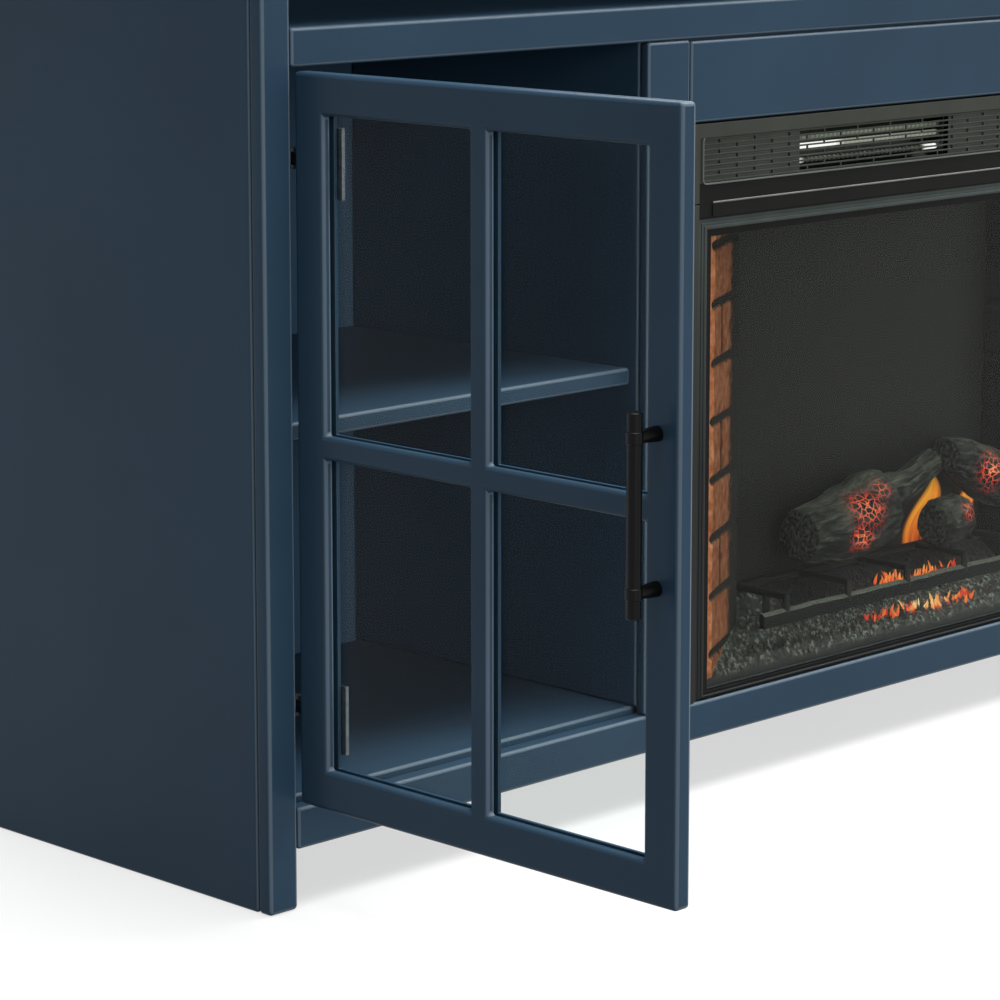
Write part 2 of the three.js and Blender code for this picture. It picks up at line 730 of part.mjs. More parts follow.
// Where each log's spine runs. A row gives a point's place along the front in grate pitches from the
// middle, its depth as a share of the grate's, its lift off the grate and its radius as shares of
// the log radius.
const leftLogShares = [
  [-1.55, 0.57, 0, 0.62], [-1.45, 0.57, 0, 0.7], [-0.42, 0.63, 0, 1], [0.2, 0.67, 0.7, 0.78],
  [0.82, 0.7, 1.64, 0.53],
];
const frontLogShares = [
  [0.68, 0.467, 0, 0.6], [0.75, 0.467, 0, 0.69], [1.3, 0.56, 0, 0.7], [1.41, 0.6, 0, 0.6],
];
const rightLogShares = [
  [1.22, 0.7, 2, 0.45], [1.5, 0.68, 1.25, 0.68], [1.74, 0.65, 0.6, 0.76], [1.95, 0.61, 0, 0.74],
  [2.08, 0.6, 0, 0.66],
];

// The heater: bright rods and a reflector between two end plates, standing on the duct floor.
const ductBase = ductFloor + sheetThick + seam;

function heater() {
  const y = [insideFront + runningGap, insideFront + runningGap + heaterDeep];
  const x = [heaterCentre - heaterWide / 2, heaterCentre + heaterWide / 2];
  const ends = [[x[0], x[0] + heaterEndThick], [x[1] - heaterEndThick, x[1]]];
  const rodX = [x[0] + heaterEndThick / 2, x[1] - heaterEndThick / 2];
  const rodY = (y[0] + y[1]) / 2;
  const rods = heaterRodHeights.map((rise) => (
    barX(rodX, rodY, ductBase + rise, heaterRodRadius, sidesCoarse)
  ));
  piece('heater_element', joined(
    ...ends.map((end) => box(end, y, [ductBase, ductBase + heaterHigh])),
    box(x, [y[1] - sheetThick, y[1]], [ductBase + heaterReflectorFrom, ductBase + heaterHigh]),
    ...rods,
  ), brightMetal);
}

// A motor with the bracket that carries the shaft at both ends, for a rotor along X.
function motorBracket(name, [x0, x1], y, z, base, radius, long) {
  const posts = [
    [x0 - runningGap - bracketThick, x0 - runningGap],
    [x1 + runningGap, x1 + runningGap + bracketThick],
  ];
  const depth = [y - bracketDeep / 2, y + bracketDeep / 2];
  const body = joined(
    box([posts[0][0], posts[1][1] + long], depth, [base, base + bracketThick]),
    ...posts.map((post) => box(post, [y - radius, y + radius], [base + bracketThick / 2, z + radius / 2])),
    barX([posts[1][0] + bracketThick / 2, posts[1][1] + long], y, z, radius, sidesFine),
  );
  const bore = barX([posts[0][0] - overrun, posts[1][1] + shaftStub], y, z, shaftRadius + shaftPlay);
  piece(name, cut(body, bore), blackMetal);
}

// The blower wheel: thin blades between two discs, on a shaft that runs into the bracket.
function blower() {
  const x = [heaterCentre - blowerLong / 2, heaterCentre + blowerLong / 2];
  const y = insideFront + blowerFromFront;
  const z = ductBase + blowerHigh;
  const blades = Array.from({ length: blowerBlades }, (_, n) => {
    const blade = box([x[0] + discThick / 2, x[1] - discThick / 2], [-bladeThick / 2, bladeThick / 2],
      [blowerRadius - bladeWide, blowerRadius - bladeThick]);
    return blade.rotateX(2 * Math.PI * n / blowerBlades).translate(0, y, z);
  });
  piece('blower_wheel', joined(
    barX([x[0], x[0] + discThick], y, z, blowerRadius, sidesFine),
    barX([x[1] - discThick, x[1]], y, z, blowerRadius, sidesFine),
    barX([x[0] - shaftStub, x[1] + shaftStub], y, z, shaftRadius),
    ...blades,
  ), sheetSteel);
  motorBracket('blower_motor', x, y, z, ductBase, motorRadius, motorLong);
}

// The spindle behind the screen: a shaft with bent fins that throw moving light on the screen.
function flameSpindle() {
  const x = [insertCentre - spindleLong / 2, insertCentre + spindleLong / 2];
  const y = spindleFromFront;
  const z = fireFloor + spindleHigh;
  const fins = Array.from({ length: finCount }, (_, n) => {
    const middle = x[0] + (n + 0.5) * spindleLong / finCount;
    const fin = box([-finLong / 2, finLong / 2], [-finWide, finWide], [-finThick / 2, finThick / 2]);
    return fin.rotateX(Math.PI * n / finCount).translate(middle, y, z);
  });
  const shaft = barX([x[0] - shaftStub, x[1] + shaftStub], y, z, shaftRadius);
  piece('flame_spindle', joined(shaft, ...fins), brightMetal);
  motorBracket('spindle_motor', x, y, z, fireFloor, spindleMotorRadius, spindleMotorLong);
}

// The two push buttons. A collar behind the face keeps each from falling out.
function pushButtons() {
  const back = insertFaceSetback + insertFaceThick + seam;
  ['heater_button', 'flame_button'].forEach((name, n) => {
    piece(name, joined(
      barY(buttonX[n], [insertFaceSetback - buttonOut, back + buttonCollarThick], buttonZ, buttonRadius),
      barY(buttonX[n], [back, back + buttonCollarThick], buttonZ, buttonCollarRadius),
    ), blackPlastic);
  });
}

carcassBoards();
for (const side of sides) {
  sideBoards(side);
  innerStile(side);
  partition(side);
  adjustableShelf(side);
  cabinetBack(side);
  const turn = side.name === 'left' ? -THREE.MathUtils.degToRad(openAngle) : 0;
  door(side, turn);
  for (const [place, z] of Object.entries(hingeHeights)) hinge(side, place, z, turn);
}
insertFace();
ventGrille();
insertCase();
firebox();
fireGrate();
log('left_log', leftLogShares);
log('front_log', frontLogShares);
log('right_log', rightLogShares);
heater();
blower();
flameSpindle();
pushButtons();

// The origin is on the floor under the middle of the stand, its open door included.
const doorReach = doorSideGap + doorWide;
stand.position.set(-cabinetWide / 2, (doorReach - carcassDeep) / 2, 0);
stand.updateMatrixWorld(true);

export default stand;
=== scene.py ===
# %% [markdown]
# # A fireplace TV stand in slate-blue paint
# The stand is a painted cabinet with a glazed door at each end and an electric fireplace in the
# middle. The solid model of it is loaded first, as a fixed frame: it says where every board, hinge
# and bar is. Everything below only gives those pieces their finished surfaces, so all places come
# from the frame and never from guesswork.

import math

import bmesh
import bpy
import numpy as np
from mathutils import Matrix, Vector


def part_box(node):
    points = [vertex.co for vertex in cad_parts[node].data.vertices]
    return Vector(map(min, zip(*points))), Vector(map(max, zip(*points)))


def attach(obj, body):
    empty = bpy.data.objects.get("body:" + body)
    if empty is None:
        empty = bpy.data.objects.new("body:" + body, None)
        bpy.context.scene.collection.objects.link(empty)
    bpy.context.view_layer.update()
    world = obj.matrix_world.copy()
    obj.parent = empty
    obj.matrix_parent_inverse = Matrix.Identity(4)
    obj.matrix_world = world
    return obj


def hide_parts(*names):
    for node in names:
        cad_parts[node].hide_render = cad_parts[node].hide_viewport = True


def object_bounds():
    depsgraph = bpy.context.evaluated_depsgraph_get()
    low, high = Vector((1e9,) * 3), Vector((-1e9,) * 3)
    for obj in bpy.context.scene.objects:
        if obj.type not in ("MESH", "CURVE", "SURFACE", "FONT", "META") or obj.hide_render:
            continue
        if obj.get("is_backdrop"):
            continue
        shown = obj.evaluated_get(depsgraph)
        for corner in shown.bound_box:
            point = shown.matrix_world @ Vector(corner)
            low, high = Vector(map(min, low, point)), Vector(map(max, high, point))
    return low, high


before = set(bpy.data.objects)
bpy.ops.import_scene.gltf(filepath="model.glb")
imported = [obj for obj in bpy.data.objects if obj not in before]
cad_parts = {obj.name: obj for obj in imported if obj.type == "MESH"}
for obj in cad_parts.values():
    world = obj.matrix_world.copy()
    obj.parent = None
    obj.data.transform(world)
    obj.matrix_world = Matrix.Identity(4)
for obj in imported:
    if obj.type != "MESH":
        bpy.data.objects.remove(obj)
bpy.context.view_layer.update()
MM = 0.001


def corners(node):
    """The lowest and highest corner of a piece of the frame, in millimetres."""
    low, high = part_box(node)
    return np.array(low) / MM, np.array(high) / MM


# %% [markdown]
# ## The camera
# The stand is seen from its front left corner, from far away through a long lens, which keeps the
# boards nearly parallel. A small downward shift of the lens does what a view camera does: it brings
# the feet into the picture without tilting the posts much.

# %% Camera
camera_data = bpy.data.cameras.new("camera")
camera_data.lens = 128.35
camera_data.sensor_width = 36
camera_data.shift_y = -0.12
camera_data.clip_start = 0.1
camera_data.clip_end = 60
camera = bpy.data.objects.new("camera", camera_data)
camera.location = (-2.5964, -2.0188, 0.8696)
DOWN_DEG = 9.289
TURN_DEG = 45.119
camera.rotation_euler = (math.radians(90 - DOWN_DEG), 0, -math.radians(TURN_DEG))
bpy.context.scene.collection.objects.link(camera)
bpy.context.scene.camera = camera

# %% [markdown]
# ## Shapes as arrays
# A shape here is a pair: an array of points in millimetres, and the faces between them. Surfaces
# come from formulas over two parameters, so one function makes every eased board, one makes every
# profile that runs along a path, and one makes every turned piece.


# %% Grids of points and the faces between them
def grid_faces(rows, columns, round_rows=False, round_columns=False):
    """Quads between neighbours of a grid of points that are numbered row by row. A round direction
    joins its last line to its first."""
    r = np.arange(rows if round_rows else rows - 1)
    c = np.arange(columns if round_columns else columns - 1)
    r, c = (a.ravel() for a in np.meshgrid(r, c, indexing="ij"))
    r_next, c_next = (r + 1) % rows, (c + 1) % columns
    quads = [r * columns + c, r_next * columns + c, r_next * columns + c_next, r * columns + c_next]
    return np.stack(quads, axis=1).tolist()


def end_faces(rows, sides):
    """The two faces that close the ends of a grid of rings."""
    last = (rows - 1) * sides
    return [list(range(sides))[::-1], [last + n for n in range(sides)]]


def together(*shapes):
    """Several shapes as one: the points follow each other and the faces count on."""
    points, faces, count = [], [], 0
    for shape_points, shape_faces in shapes:
        points.append(np.asarray(shape_points, float))
        faces += [[i + count for i in face] for face in shape_faces]
        count += len(shape_points)
    return np.concatenate(points), faces


def eased_board(low, high, radius, steps=4):
    """A board with rounded arrises: the sum of a small sphere and a box that is smaller by the
    sphere's radius. For a direction d on the sphere the point is the inner box's corner on that
    side plus radius times d."""
    low, high = np.asarray(low, float), np.asarray(high, float)
    quarter = np.linspace(0, math.pi / 2, steps + 1)
    turn = (quarter[None] + np.arange(4)[:, None] * math.pi / 2).ravel()
    side_x = np.repeat([1, -1, -1, 1], steps + 1)
    side_y = np.repeat([1, 1, -1, -1], steps + 1)
    rise = np.concatenate([quarter - math.pi / 2, quarter])[:, None]
    side_z = np.repeat([-1, 1], steps + 1)[:, None]
    flat = np.ones_like(rise)
    level = np.cos(rise)
    ball = np.stack([level * np.cos(turn), level * np.sin(turn), np.sin(rise) + 0 * turn], -1)
    side = np.stack([flat * side_x, flat * side_y, side_z + 0 * turn], -1)
    points = (low + high) / 2 + side * ((high - low) / 2 - radius) + radius * ball
    rows, columns = ball.shape[:2]
    faces = grid_faces(rows, columns, round_columns=True)
    ends = np.arange(4) * (steps + 1)
    faces.append(ends[::-1].tolist())
    faces.append((ends + (rows - 1) * columns).tolist())
    return points.reshape(-1, 3), faces


def carried(profile, path, across, outward, closed=True):
    """A closed profile carried along a path. The point is path + profile's first number times the
    across direction + its second number times the outward direction, at each stop of the path."""
    profile, path = np.asarray(profile, float), np.asarray(path, float)
    across, outward = (np.broadcast_to(np.asarray(a, float), path.shape) for a in (across, outward))
    sideways = profile[None, :, :1] * across[:, None]
    points = path[:, None] + sideways + profile[None, :, 1:] * outward[:, None]
    faces = grid_faces(len(path), len(profile), round_rows=closed, round_columns=True)
    if not closed:
        faces += [face[::-1] for face in end_faces(len(path), len(profile))]
    return points.reshape(-1, 3), faces


def tube(path, radii, sides=16):
    """A round bar along a path: a circle at each stop, square to the path, with its own radius."""
    path = np.asarray(path, float)
    radii = np.broadcast_to(np.asarray(radii, float), len(path))
    along = np.gradient(path, axis=0)
    along /= np.linalg.norm(along, axis=1, keepdims=True)
    helper = np.eye(3)[np.argmin(np.abs(along).sum(0))]
    first = np.cross(along, helper)
    first /= np.linalg.norm(first, axis=1, keepdims=True)
    second = np.cross(along, first)
    turn = np.linspace(0, 2 * math.pi, sides, endpoint=False)[None, :, None]
    ring = np.cos(turn) * first[:, None] + np.sin(turn) * second[:, None]
    points = path[:, None] + radii[:, None, None] * ring
    faces = grid_faces(len(path), sides, round_columns=True) + end_faces(len(path), sides)
    return points.reshape(-1, 3), faces


def turned(profile, centre, axis, sides=32):
    """A turned piece: each stop of the profile is a radius and a distance along the axis."""
    profile, axis = np.asarray(profile, float), np.asarray(axis, float)
    first = np.cross(axis, np.eye(3)[np.argmin(np.abs(axis))])
    first /= np.linalg.norm(first)
    second = np.cross(axis, first)
    turn = np.linspace(0, 2 * math.pi, sides, endpoint=False)[None, :, None]
    ring = np.cos(turn) * first + np.sin(turn) * second
    points = np.asarray(centre) + profile[:, :1, None] * ring + profile[:, 1:, None] * axis
    faces = grid_faces(len(profile), sides, round_columns=True) + end_faces(len(profile), sides)
    return points.reshape(-1, 3), faces


def round_rectangle(low, high, inset, corner, grow, y, steps):
    """A loop that faces the front, inset from a box's outline, with a quarter circle in each corner,
    and for each of its points the direction straight outwards. The points lie on the corner's
    radius plus grow."""
    quarter = np.linspace(0, math.pi / 2, steps)
    turn = (quarter[None] + np.arange(4)[:, None] * math.pi / 2).ravel()
    away = np.repeat([[1, 1], [-1, 1], [-1, -1], [1, -1]], steps, axis=0)
    x, z = ((low + high)[[0, 2]] / 2 + away * ((high - low)[[0, 2]] / 2 - inset - corner)).T
    outwards = np.stack([np.cos(turn), 0 * turn, np.sin(turn)], -1)
    return np.stack([x, 0 * turn + y, z], -1) + outwards * (corner + grow), outwards


def cells(lines, filled):
    """A square-cornered body on a lattice. lines has the places of the lattice's planes on each
    axis, filled says for each cell between them whether it is solid, and a face lies wherever a
    solid cell meets an empty one."""
    grid = np.stack(np.meshgrid(*lines, indexing="ij"), -1)
    number = np.arange(grid[..., 0].size).reshape(grid.shape[:3])
    padded = np.pad(filled.astype(int), 1)
    faces = []
    for axis in range(3):
        inner = [slice(1, -1)] * 3
        inner[axis] = slice(None)
        change = np.diff(padded[tuple(inner)], axis=axis)
        b, c = np.roll(np.eye(3, dtype=int), -axis - 1, axis=0)[:2]
        for sign in (-1, 1):
            at = np.argwhere(change == sign)
            quads = np.stack([number[tuple((at + step).T)] for step in (0, b, b + c, c)], axis=1)
            faces += (quads if sign < 0 else quads[:, ::-1]).tolist()
    return grid.reshape(-1, 3), faces


# %% [markdown]
# ## From shape to piece
# A piece of the object is a mesh object at the origin with its place in its points. Its doubled
# points are merged, its faces are turned to point outwards, and it rides on the body that carries
# it. Arrises of lattice bodies are rounded by a Bevel modifier, and Weighted Normal keeps the wide
# flat faces flat next to the small round ones.


# %% Make one piece
MERGE_MM = 0.001
SHARP_DEG = 40


def piece(name, shape, finish, body="cabinet", replaces=(), slot=None, ease=0, thin=False,
          smooth=SHARP_DEG, **values):
    """Makes a mesh object of a shape given in millimetres. ease rounds its arrises by a width, a
    thin one is an open sheet, and edges sharper than smooth, in degrees, stay crisp. Each further
    value is an array with one number for each point, which the finish reads as an attribute."""
    points, faces = shape
    mesh = bpy.data.meshes.new(name)
    mesh.from_pydata((np.asarray(points) * MM).tolist(), [], faces)
    for title, numbers in values.items():
        layer = mesh.attributes.new(title, "FLOAT", "POINT")
        layer.data.foreach_set("value", np.asarray(numbers, np.float32).ravel())
    work = bmesh.new()
    work.from_mesh(mesh)
    bmesh.ops.remove_doubles(work, verts=work.verts, dist=MERGE_MM * MM)
    bmesh.ops.dissolve_degenerate(work, edges=work.edges, dist=MERGE_MM / 2 * MM)
    loose = [v for v in work.verts if not v.link_faces]
    bmesh.ops.delete(work, geom=loose, context="VERTS")
    if not thin:
        bmesh.ops.recalc_face_normals(work, faces=work.faces)
    work.to_mesh(mesh)
    work.free()
    mesh.shade_smooth()
    mesh.set_sharp_from_angle(angle=math.radians(smooth))
    made = bpy.data.objects.new(name, mesh)
    bpy.context.scene.collection.objects.link(made)
    made.data.materials.append(finish)
    if ease:
        bevel = made.modifiers.new("eased arrises", "BEVEL")
        bevel.width = ease * MM
        bevel.segments = 3
        bevel.limit_method = "ANGLE"
        bevel.angle_limit = math.radians(SHARP_DEG)
    if not thin:
        flat = made.modifiers.new("flat faces stay flat", "WEIGHTED_NORMAL")
        flat.keep_sharp = True
    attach(made, body)
    if replaces:
        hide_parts(*replaces)
    print(name, len(mesh.polygons), "faces")
    return made


# %% [markdown]
# ## Colours and shader nodes
# Colours are written as they look on a screen, in sRGB hex, and one function turns them into the
# linear values that light is worked out with. One small function adds any node with its settings
# and its links, so each material below reads as a short recipe.


# %% Colour and node helpers
def paint_colour(code):
    """An sRGB hex colour as linear red, green, blue and alpha."""
    parts = [int(code[i:i + 2], 16) / 255 for i in (1, 3, 5)]
    linear = [p / 12.92 if p <= 0.04045 else ((p + 0.055) / 1.055) ** 2.4 for p in parts]
    return (*linear, 1.0)


def feed(tree, node, inputs):
    """Fills inputs of a node, each by its name or its place in the row: another node's output, or
    the first output of a node, is linked to it, and a number or a colour becomes its value."""
    for name, given in inputs.items():
        if isinstance(given, bpy.types.Node):
            given = given.outputs[0]
        if isinstance(given, bpy.types.NodeSocket):
            tree.links.new(given, node.inputs[name])
        else:
            node.inputs[name].default_value = given


def add(tree, kind, inputs=None, **settings):
    """Adds a node and feeds its inputs. A setting is a property of the node or the value of an input
    with that name, where _ stands for a space."""
    node = tree.nodes.new(kind)
    for name, value in settings.items():
        if hasattr(node, name):
            setattr(node, name, value)
        else:
            node.inputs[name.replace("_", " ")].default_value = value
    feed(tree, node, inputs or {})
    return node


def surface(name):
    """A new material with its node tree and its main shader."""
    made = bpy.data.materials.new(name)
    made.use_nodes = True
    tree = made.node_tree
    return made, tree, tree.nodes["Principled BSDF"]


def mixed(tree, first, second, share):
    """Ends a material of two shaders: it is the first where the share is 0, the second where it is 1."""
    mix = add(tree, "ShaderNodeMixShader", {"Fac": share, 1: first, 2: second})
    feed(tree, tree.nodes["Material Output"], {"Surface": mix})


def ramp(tree, value, stops):
    """A colour ramp over a value: stops are places with their hex colours."""
    node = add(tree, "ShaderNodeValToRGB", {"Fac": value})
    while len(node.color_ramp.elements) < len(stops):
        node.color_ramp.elements.new(1)
    for element, (place, code) in zip(node.color_ramp.elements, stops):
        element.position = place
        element.color = paint_colour(code)
    return node


def rough_by(tree, shader, value, low, high):
    """Lets a pattern between 0 and 1 move the roughness between two values."""
    node = add(tree, "ShaderNodeMapRange", {"Value": value}, To_Min=low, To_Max=high)
    feed(tree, shader, {"Roughness": node})


def bump(tree, shader, height, depth_mm, strength=1.0):
    """Raises the surface by a pattern between 0 and 1, by a depth in millimetres."""
    node = add(tree, "ShaderNodeBump", {"Height": height}, Distance=depth_mm * MM, Strength=strength)
    feed(tree, shader, {"Normal": node.outputs["Normal"]})


def per_metre(size_mm):
    """How often a feature of that size fits in a metre: the scale of a pattern."""
    return 1 / (size_mm * MM)


def grained(name, grain_mm, detail, stops, rough, relief=()):
    """A material whose colour, roughness and, where it has any, relief all follow one fine noise.
    rough is the span of the roughness, and relief a depth in millimetres and a strength."""
    made, tree, shader = surface(name)
    place = add(tree, "ShaderNodeTexCoord").outputs["Object"]
    grain = add(tree, "ShaderNodeTexNoise", {"Vector": place}, Scale=per_metre(grain_mm), Detail=detail)
    feed(tree, shader, {"Base Color": ramp(tree, grain, stops)})
    rough_by(tree, shader, grain, *rough)
    if relief:
        bump(tree, shader, grain, *relief)
    return made, tree, shader


# %% [markdown]
# ## The paint
# The cabinet is fibreboard with a satin, slate-blue sprayed lacquer. Sprayed lacquer is even, but never
# dead flat: it dries with a fine orange peel of a millimetre or two, and its tone drifts a little over a
# board. Arrises that look to the front or up get a painted highlight: they are paler and greyer, as where
# the light catches them.


# %% Where a surface is an arris
FRONT_AND_UP = (0.0, -0.89, 0.45)
LIT_FROM, LIT_FULL = 0.38, 0.6


def lit_arris_mask(tree, flat, round_off):
    """1 on rounded arrises that look to the front or up, where the light from the front and above catches
    them, and 0 on flat faces: the mask of a painted highlight. The largest part of the object's own normal
    is 1 on a face and 0.7 in the middle of an arris, and its dot product with a forward and upward
    direction tells which way the arris looks."""
    normal = add(tree, "ShaderNodeTexCoord").outputs["Normal"]
    sizes = add(tree, "ShaderNodeVectorMath", {"Vector": normal}, operation="ABSOLUTE")
    parts = add(tree, "ShaderNodeSeparateXYZ", {"Vector": sizes})
    most = parts.outputs["X"]
    for axis in ("Y", "Z"):
        most = add(tree, "ShaderNodeMath", {0: most, 1: parts.outputs[axis]}, operation="MAXIMUM")
    rounded = add(tree, "ShaderNodeMapRange", {"Value": most}, From_Min=flat, From_Max=round_off)
    seen = add(tree, "ShaderNodeVectorMath", {0: normal, 1: FRONT_AND_UP}, operation="DOT_PRODUCT")
    facing_light = add(tree, "ShaderNodeMapRange", {"Value": seen.outputs["Value"]},
                  From_Min=LIT_FROM, From_Max=LIT_FULL)
    return add(tree, "ShaderNodeMath", {0: rounded, 1: facing_light}, operation="MULTIPLY")


# %% Sprayed satin lacquer on fibreboard
def sprayed_lacquer():
    """Slate blue that hardly drifts in tone, with a soft gloss that a fine orange peel breaks up, and a
    painted highlight on arrises that look to the front or up: they are paler and greyer, which draws the
    outline of every board."""
    made, tree, shader = surface("sprayed_satin_lacquer_slate_blue")
    place = add(tree, "ShaderNodeTexCoord").outputs["Object"]
    drift = add(tree, "ShaderNodeTexNoise", {"Vector": place}, Scale=per_metre(160), Detail=3.0)
    colour = ramp(tree, drift, [(0.3, "#293e50"), (0.7, "#2c4356")])
    # Painted highlight: arrises that look to the front or up are mixed towards a paler grey.
    arris = lit_arris_mask(tree, 0.998, 0.97)
    highlighted = add(tree, "ShaderNodeMix", {"Factor": arris}, data_type="RGBA")
    feed(tree, highlighted, {6: colour, 7: paint_colour("#54626e")})
    feed(tree, shader, {"Base Color": highlighted.outputs[2], "IOR": 1.5, "Specular IOR Level": 0.09})
    peel = add(tree, "ShaderNodeTexNoise", {"Vector": place}, Scale=per_metre(1.6), Detail=2.0)
    rough_by(tree, shader, peel, 0.3, 0.4)
    bump(tree, shader, peel, 0.02, 0.35)
    return made


lacquer = sprayed_lacquer()


# %% [markdown]
# The thin back panels are hardboard, painted in the same blue but in one coat, so they are matter
# and show a trace of the pressed fibres.

# %% Painted hardboard
hardboard, tree, shader = grained(
    "painted_hardboard", 2, 3.0, [(0.3, "#2d4255"), (0.7, "#31485b")], rough=(0.6, 0.7), relief=(0.02, 0.3))
feed(tree, shader, {"Specular IOR Level": 0.1})

# %% [markdown]
# ## The carcass
# Every board that shows gets arrises rounded by about three millimetres, as a spindle sander and a spray
# gun leave them. Each arris draws a thin pale line, because somewhere on its curve it faces the light. So
# the round edge is modelled, and the lacquer adds a painted highlight on arrises that look to the front or
# up. A seam of 0.3 mm stays between two boards, and small hidden pieces stay 0.2 mm inside the faces of
# what hides them.

# %% Plain boards
SEAM = 0.3
TUCK = 0.2
ARRIS = 3.0
BOARD_THICK = 15.0
POST_ARRIS = 3.8
PLAIN_BOARDS = [
    "top_board", "media_upright", "top_rail", "bottom_rail", "left_inner_stile", "right_inner_stile",
    "centre_panel", "bottom_board", "left_adjustable_shelf", "right_adjustable_shelf", "centre_leg",
]


def painted(node, shape, body="cabinet", ease=0):
    """A lacquered piece in the place of a node of the frame."""
    piece(f"{node}_painted", shape, lacquer, body, [node], "painted_wood", ease=ease)


for node in PLAIN_BOARDS:
    painted(node, eased_board(*corners(node), ARRIS))

# %% [markdown]
# A hair's gap runs round the centre panel. On a real stand a tongue on its edges keeps light from
# shining through, and the gap is a dark line. Without the tongue it would be a bright one.

# %% Tongue in the gap round the centre panel
TONGUE_INSIDE = 4.0
SIDE_TONGUE = 0.75
panel_low, panel_high = corners("centre_panel")
rail_low = corners("top_rail")[0]
tongue_low = [panel_low[0] - SIDE_TONGUE, panel_high[1] - TONGUE_INSIDE, panel_low[2] + ARRIS]
tongue_high = [panel_high[0] + SIDE_TONGUE, panel_high[1] - TUCK, rail_low[2] - TUCK]
piece("centre_panel_tongue", eased_board(tongue_low, tongue_high, 0.5), lacquer, slot="painted_wood")

# %% [markdown]
# The side panels and partitions carry steel pins for the shelves, and the posts carry the blocks
# that the hinges are screwed to. The solid model has these in one piece each; here the pins get
# their own bright metal.


# %% Steel shelf pins
def zinc_plated_steel(name, low, high, rough):
    """Bright zinc or nickel plate: a metal whose roughness is blotched at the size of its crystals."""
    made, tree, shader = grained(name, 4, 4.0, [(0.3, low), (0.7, high)], rough=(rough, rough + 0.12))
    feed(tree, shader, {"Metallic": 1.0})
    return made


nickel = zinc_plated_steel("nickel_plated_steel", "#50565c", "#666c72", 0.38)
PIN_RADIUS = 2.5
PIN_OUT = 9.0
PIN_INSET = 45.0


def shelf_pins(name, face_x, out, shelf):
    """Two round pins with domed ends that stand out of a panel under a shelf."""
    low, high = corners(shelf)
    dome = [(PIN_RADIUS, PIN_OUT - 1), (PIN_RADIUS * 0.7, PIN_OUT - 0.3), (0.4, PIN_OUT)]
    profile = [(PIN_RADIUS, -1)] + dome
    height = low[2] - SEAM - PIN_RADIUS
    places = [low[1] + PIN_INSET, high[1] + SEAM - PIN_INSET]
    shapes = [turned(profile, (face_x, y, height), (out, 0, 0), 16) for y in places]
    piece(name, together(*shapes), nickel, slot="hinge_nickel")


# %% Side panels, partitions and posts
HINGE_BLOCK_HALF = 30


def panel_with_pins(node, pins, out, shelf):
    """A board and the pins that stand out of it along x, to the right where out is 1 and to the left
    where it is -1. The frame has both in one piece, so the board ends at its own thickness."""
    low, high = corners(node)
    face = low[0] + BOARD_THICK if out > 0 else high[0] - BOARD_THICK
    ends = (low, [face, *high[1:]]) if out > 0 else ([face, *low[1:]], high)
    painted(node, eased_board(*ends, ARRIS))
    shelf_pins(pins, face, out, shelf)


for hand, out in (("left", 1), ("right", -1)):
    panel_with_pins(f"{hand}_side_panel", f"{hand}_outer_shelf_pins", out, f"{hand}_adjustable_shelf")
    panel_with_pins(f"{hand}_partition", f"{hand}_inner_shelf_pins", -out, f"{hand}_adjustable_shelf")
    low, high = corners(f"{hand}_front_post")
    front_block = [high[0], low[1] + BOARD_THICK, high[2]]
    parts = [eased_board(low, front_block, POST_ARRIS)]
    for place in ("upper", "lower"):
        arm_low, arm_high = corners(f"{hand}_{place}_hinge_arm")
        middle = (arm_low[2] + arm_high[2]) / 2
        inner_edge = low[0] + BOARD_THICK + SEAM if out > 0 else high[0] - BOARD_THICK - SEAM
        xs = sorted([inner_edge, high[0] if out > 0 else low[0]])
        block_low = [xs[0], low[1] + BOARD_THICK - 1, middle - HINGE_BLOCK_HALF]
        block_high = [xs[1], high[1], middle + HINGE_BLOCK_HALF]
        parts.append(eased_board(block_low, block_high, 1.0))
    painted(f"{hand}_front_post", together(*parts))

# %% [markdown]
# The media shelf is notched round the posts. A lattice of lines along its edges, with the two corner
# cells left empty, gives that outline, and a bevel rounds it.

# %% Media shelf
low, high = corners("media_shelf")
post_low, post_high = corners("left_front_post")
post_inner = post_high[0] + SEAM
notch_depth = post_low[1] + BOARD_THICK + SEAM
xs = [low[0], post_inner, low[0] + high[0] - post_inner, high[0]]
filled = np.ones((3, 2, 1), bool)
filled[0, 0] = filled[2, 0] = False
lattice = cells([xs, [low[1], notch_depth, high[1]], [low[2], high[2]]], filled)
painted("media_shelf", lattice, ease=ARRIS)

# %% [markdown]
# The back panels are three thin sheets. They lie a hair deeper than the solid model has them, by the
# height of the pin heads that hold them, so that the heads end where the stand ends.

# %% Back panels
PIN_HEAD_RISE = 0.6
BACK_PANELS = ("media_back_panel", "left_back_panel", "right_back_panel")
for node in BACK_PANELS:
    low, high = corners(node)
    sheet = eased_board(low, [high[0], high[1] - PIN_HEAD_RISE, high[2]], 0.5)
    piece(f"{node}_painted", sheet, hardboard, replaces=[node], slot="painted_back")

# %% [markdown]
# Between the two lower panels the back is open. There the upper panel reaches a little further down,
# behind the rounded edge of the media shelf. Otherwise a line of daylight would show over the shelf.

# %% Lip of the upper back panel
LIP_DOWN = 12.0
LIP_UP = 5.0
low, high = corners("media_back_panel")
lip_low = [corners("left_back_panel")[1][0] + SEAM, low[1] + TUCK, low[2] - LIP_DOWN]
lip_high = [corners("right_back_panel")[0][0] - SEAM, high[1] - PIN_HEAD_RISE - TUCK, low[2] + LIP_UP]
piece("media_back_lip", eased_board(lip_low, lip_high, 0.5), hardboard, slot="painted_back")

# %% [markdown]
# ## The doors
# A door is a flat frame with one upright and one level glazing bar. Its parts are glued up and
# painted as one, so it is one body here too: a lattice whose lines follow the stiles, rails and
# bars, with the four panes left empty in the front layer and one wide rebate left empty in the back
# layer, where the glass lies. It is drawn shut, measured from its hinge edge, and then laid on the
# door where the frame has it: the left door stands open at a right angle, the right one is shut.

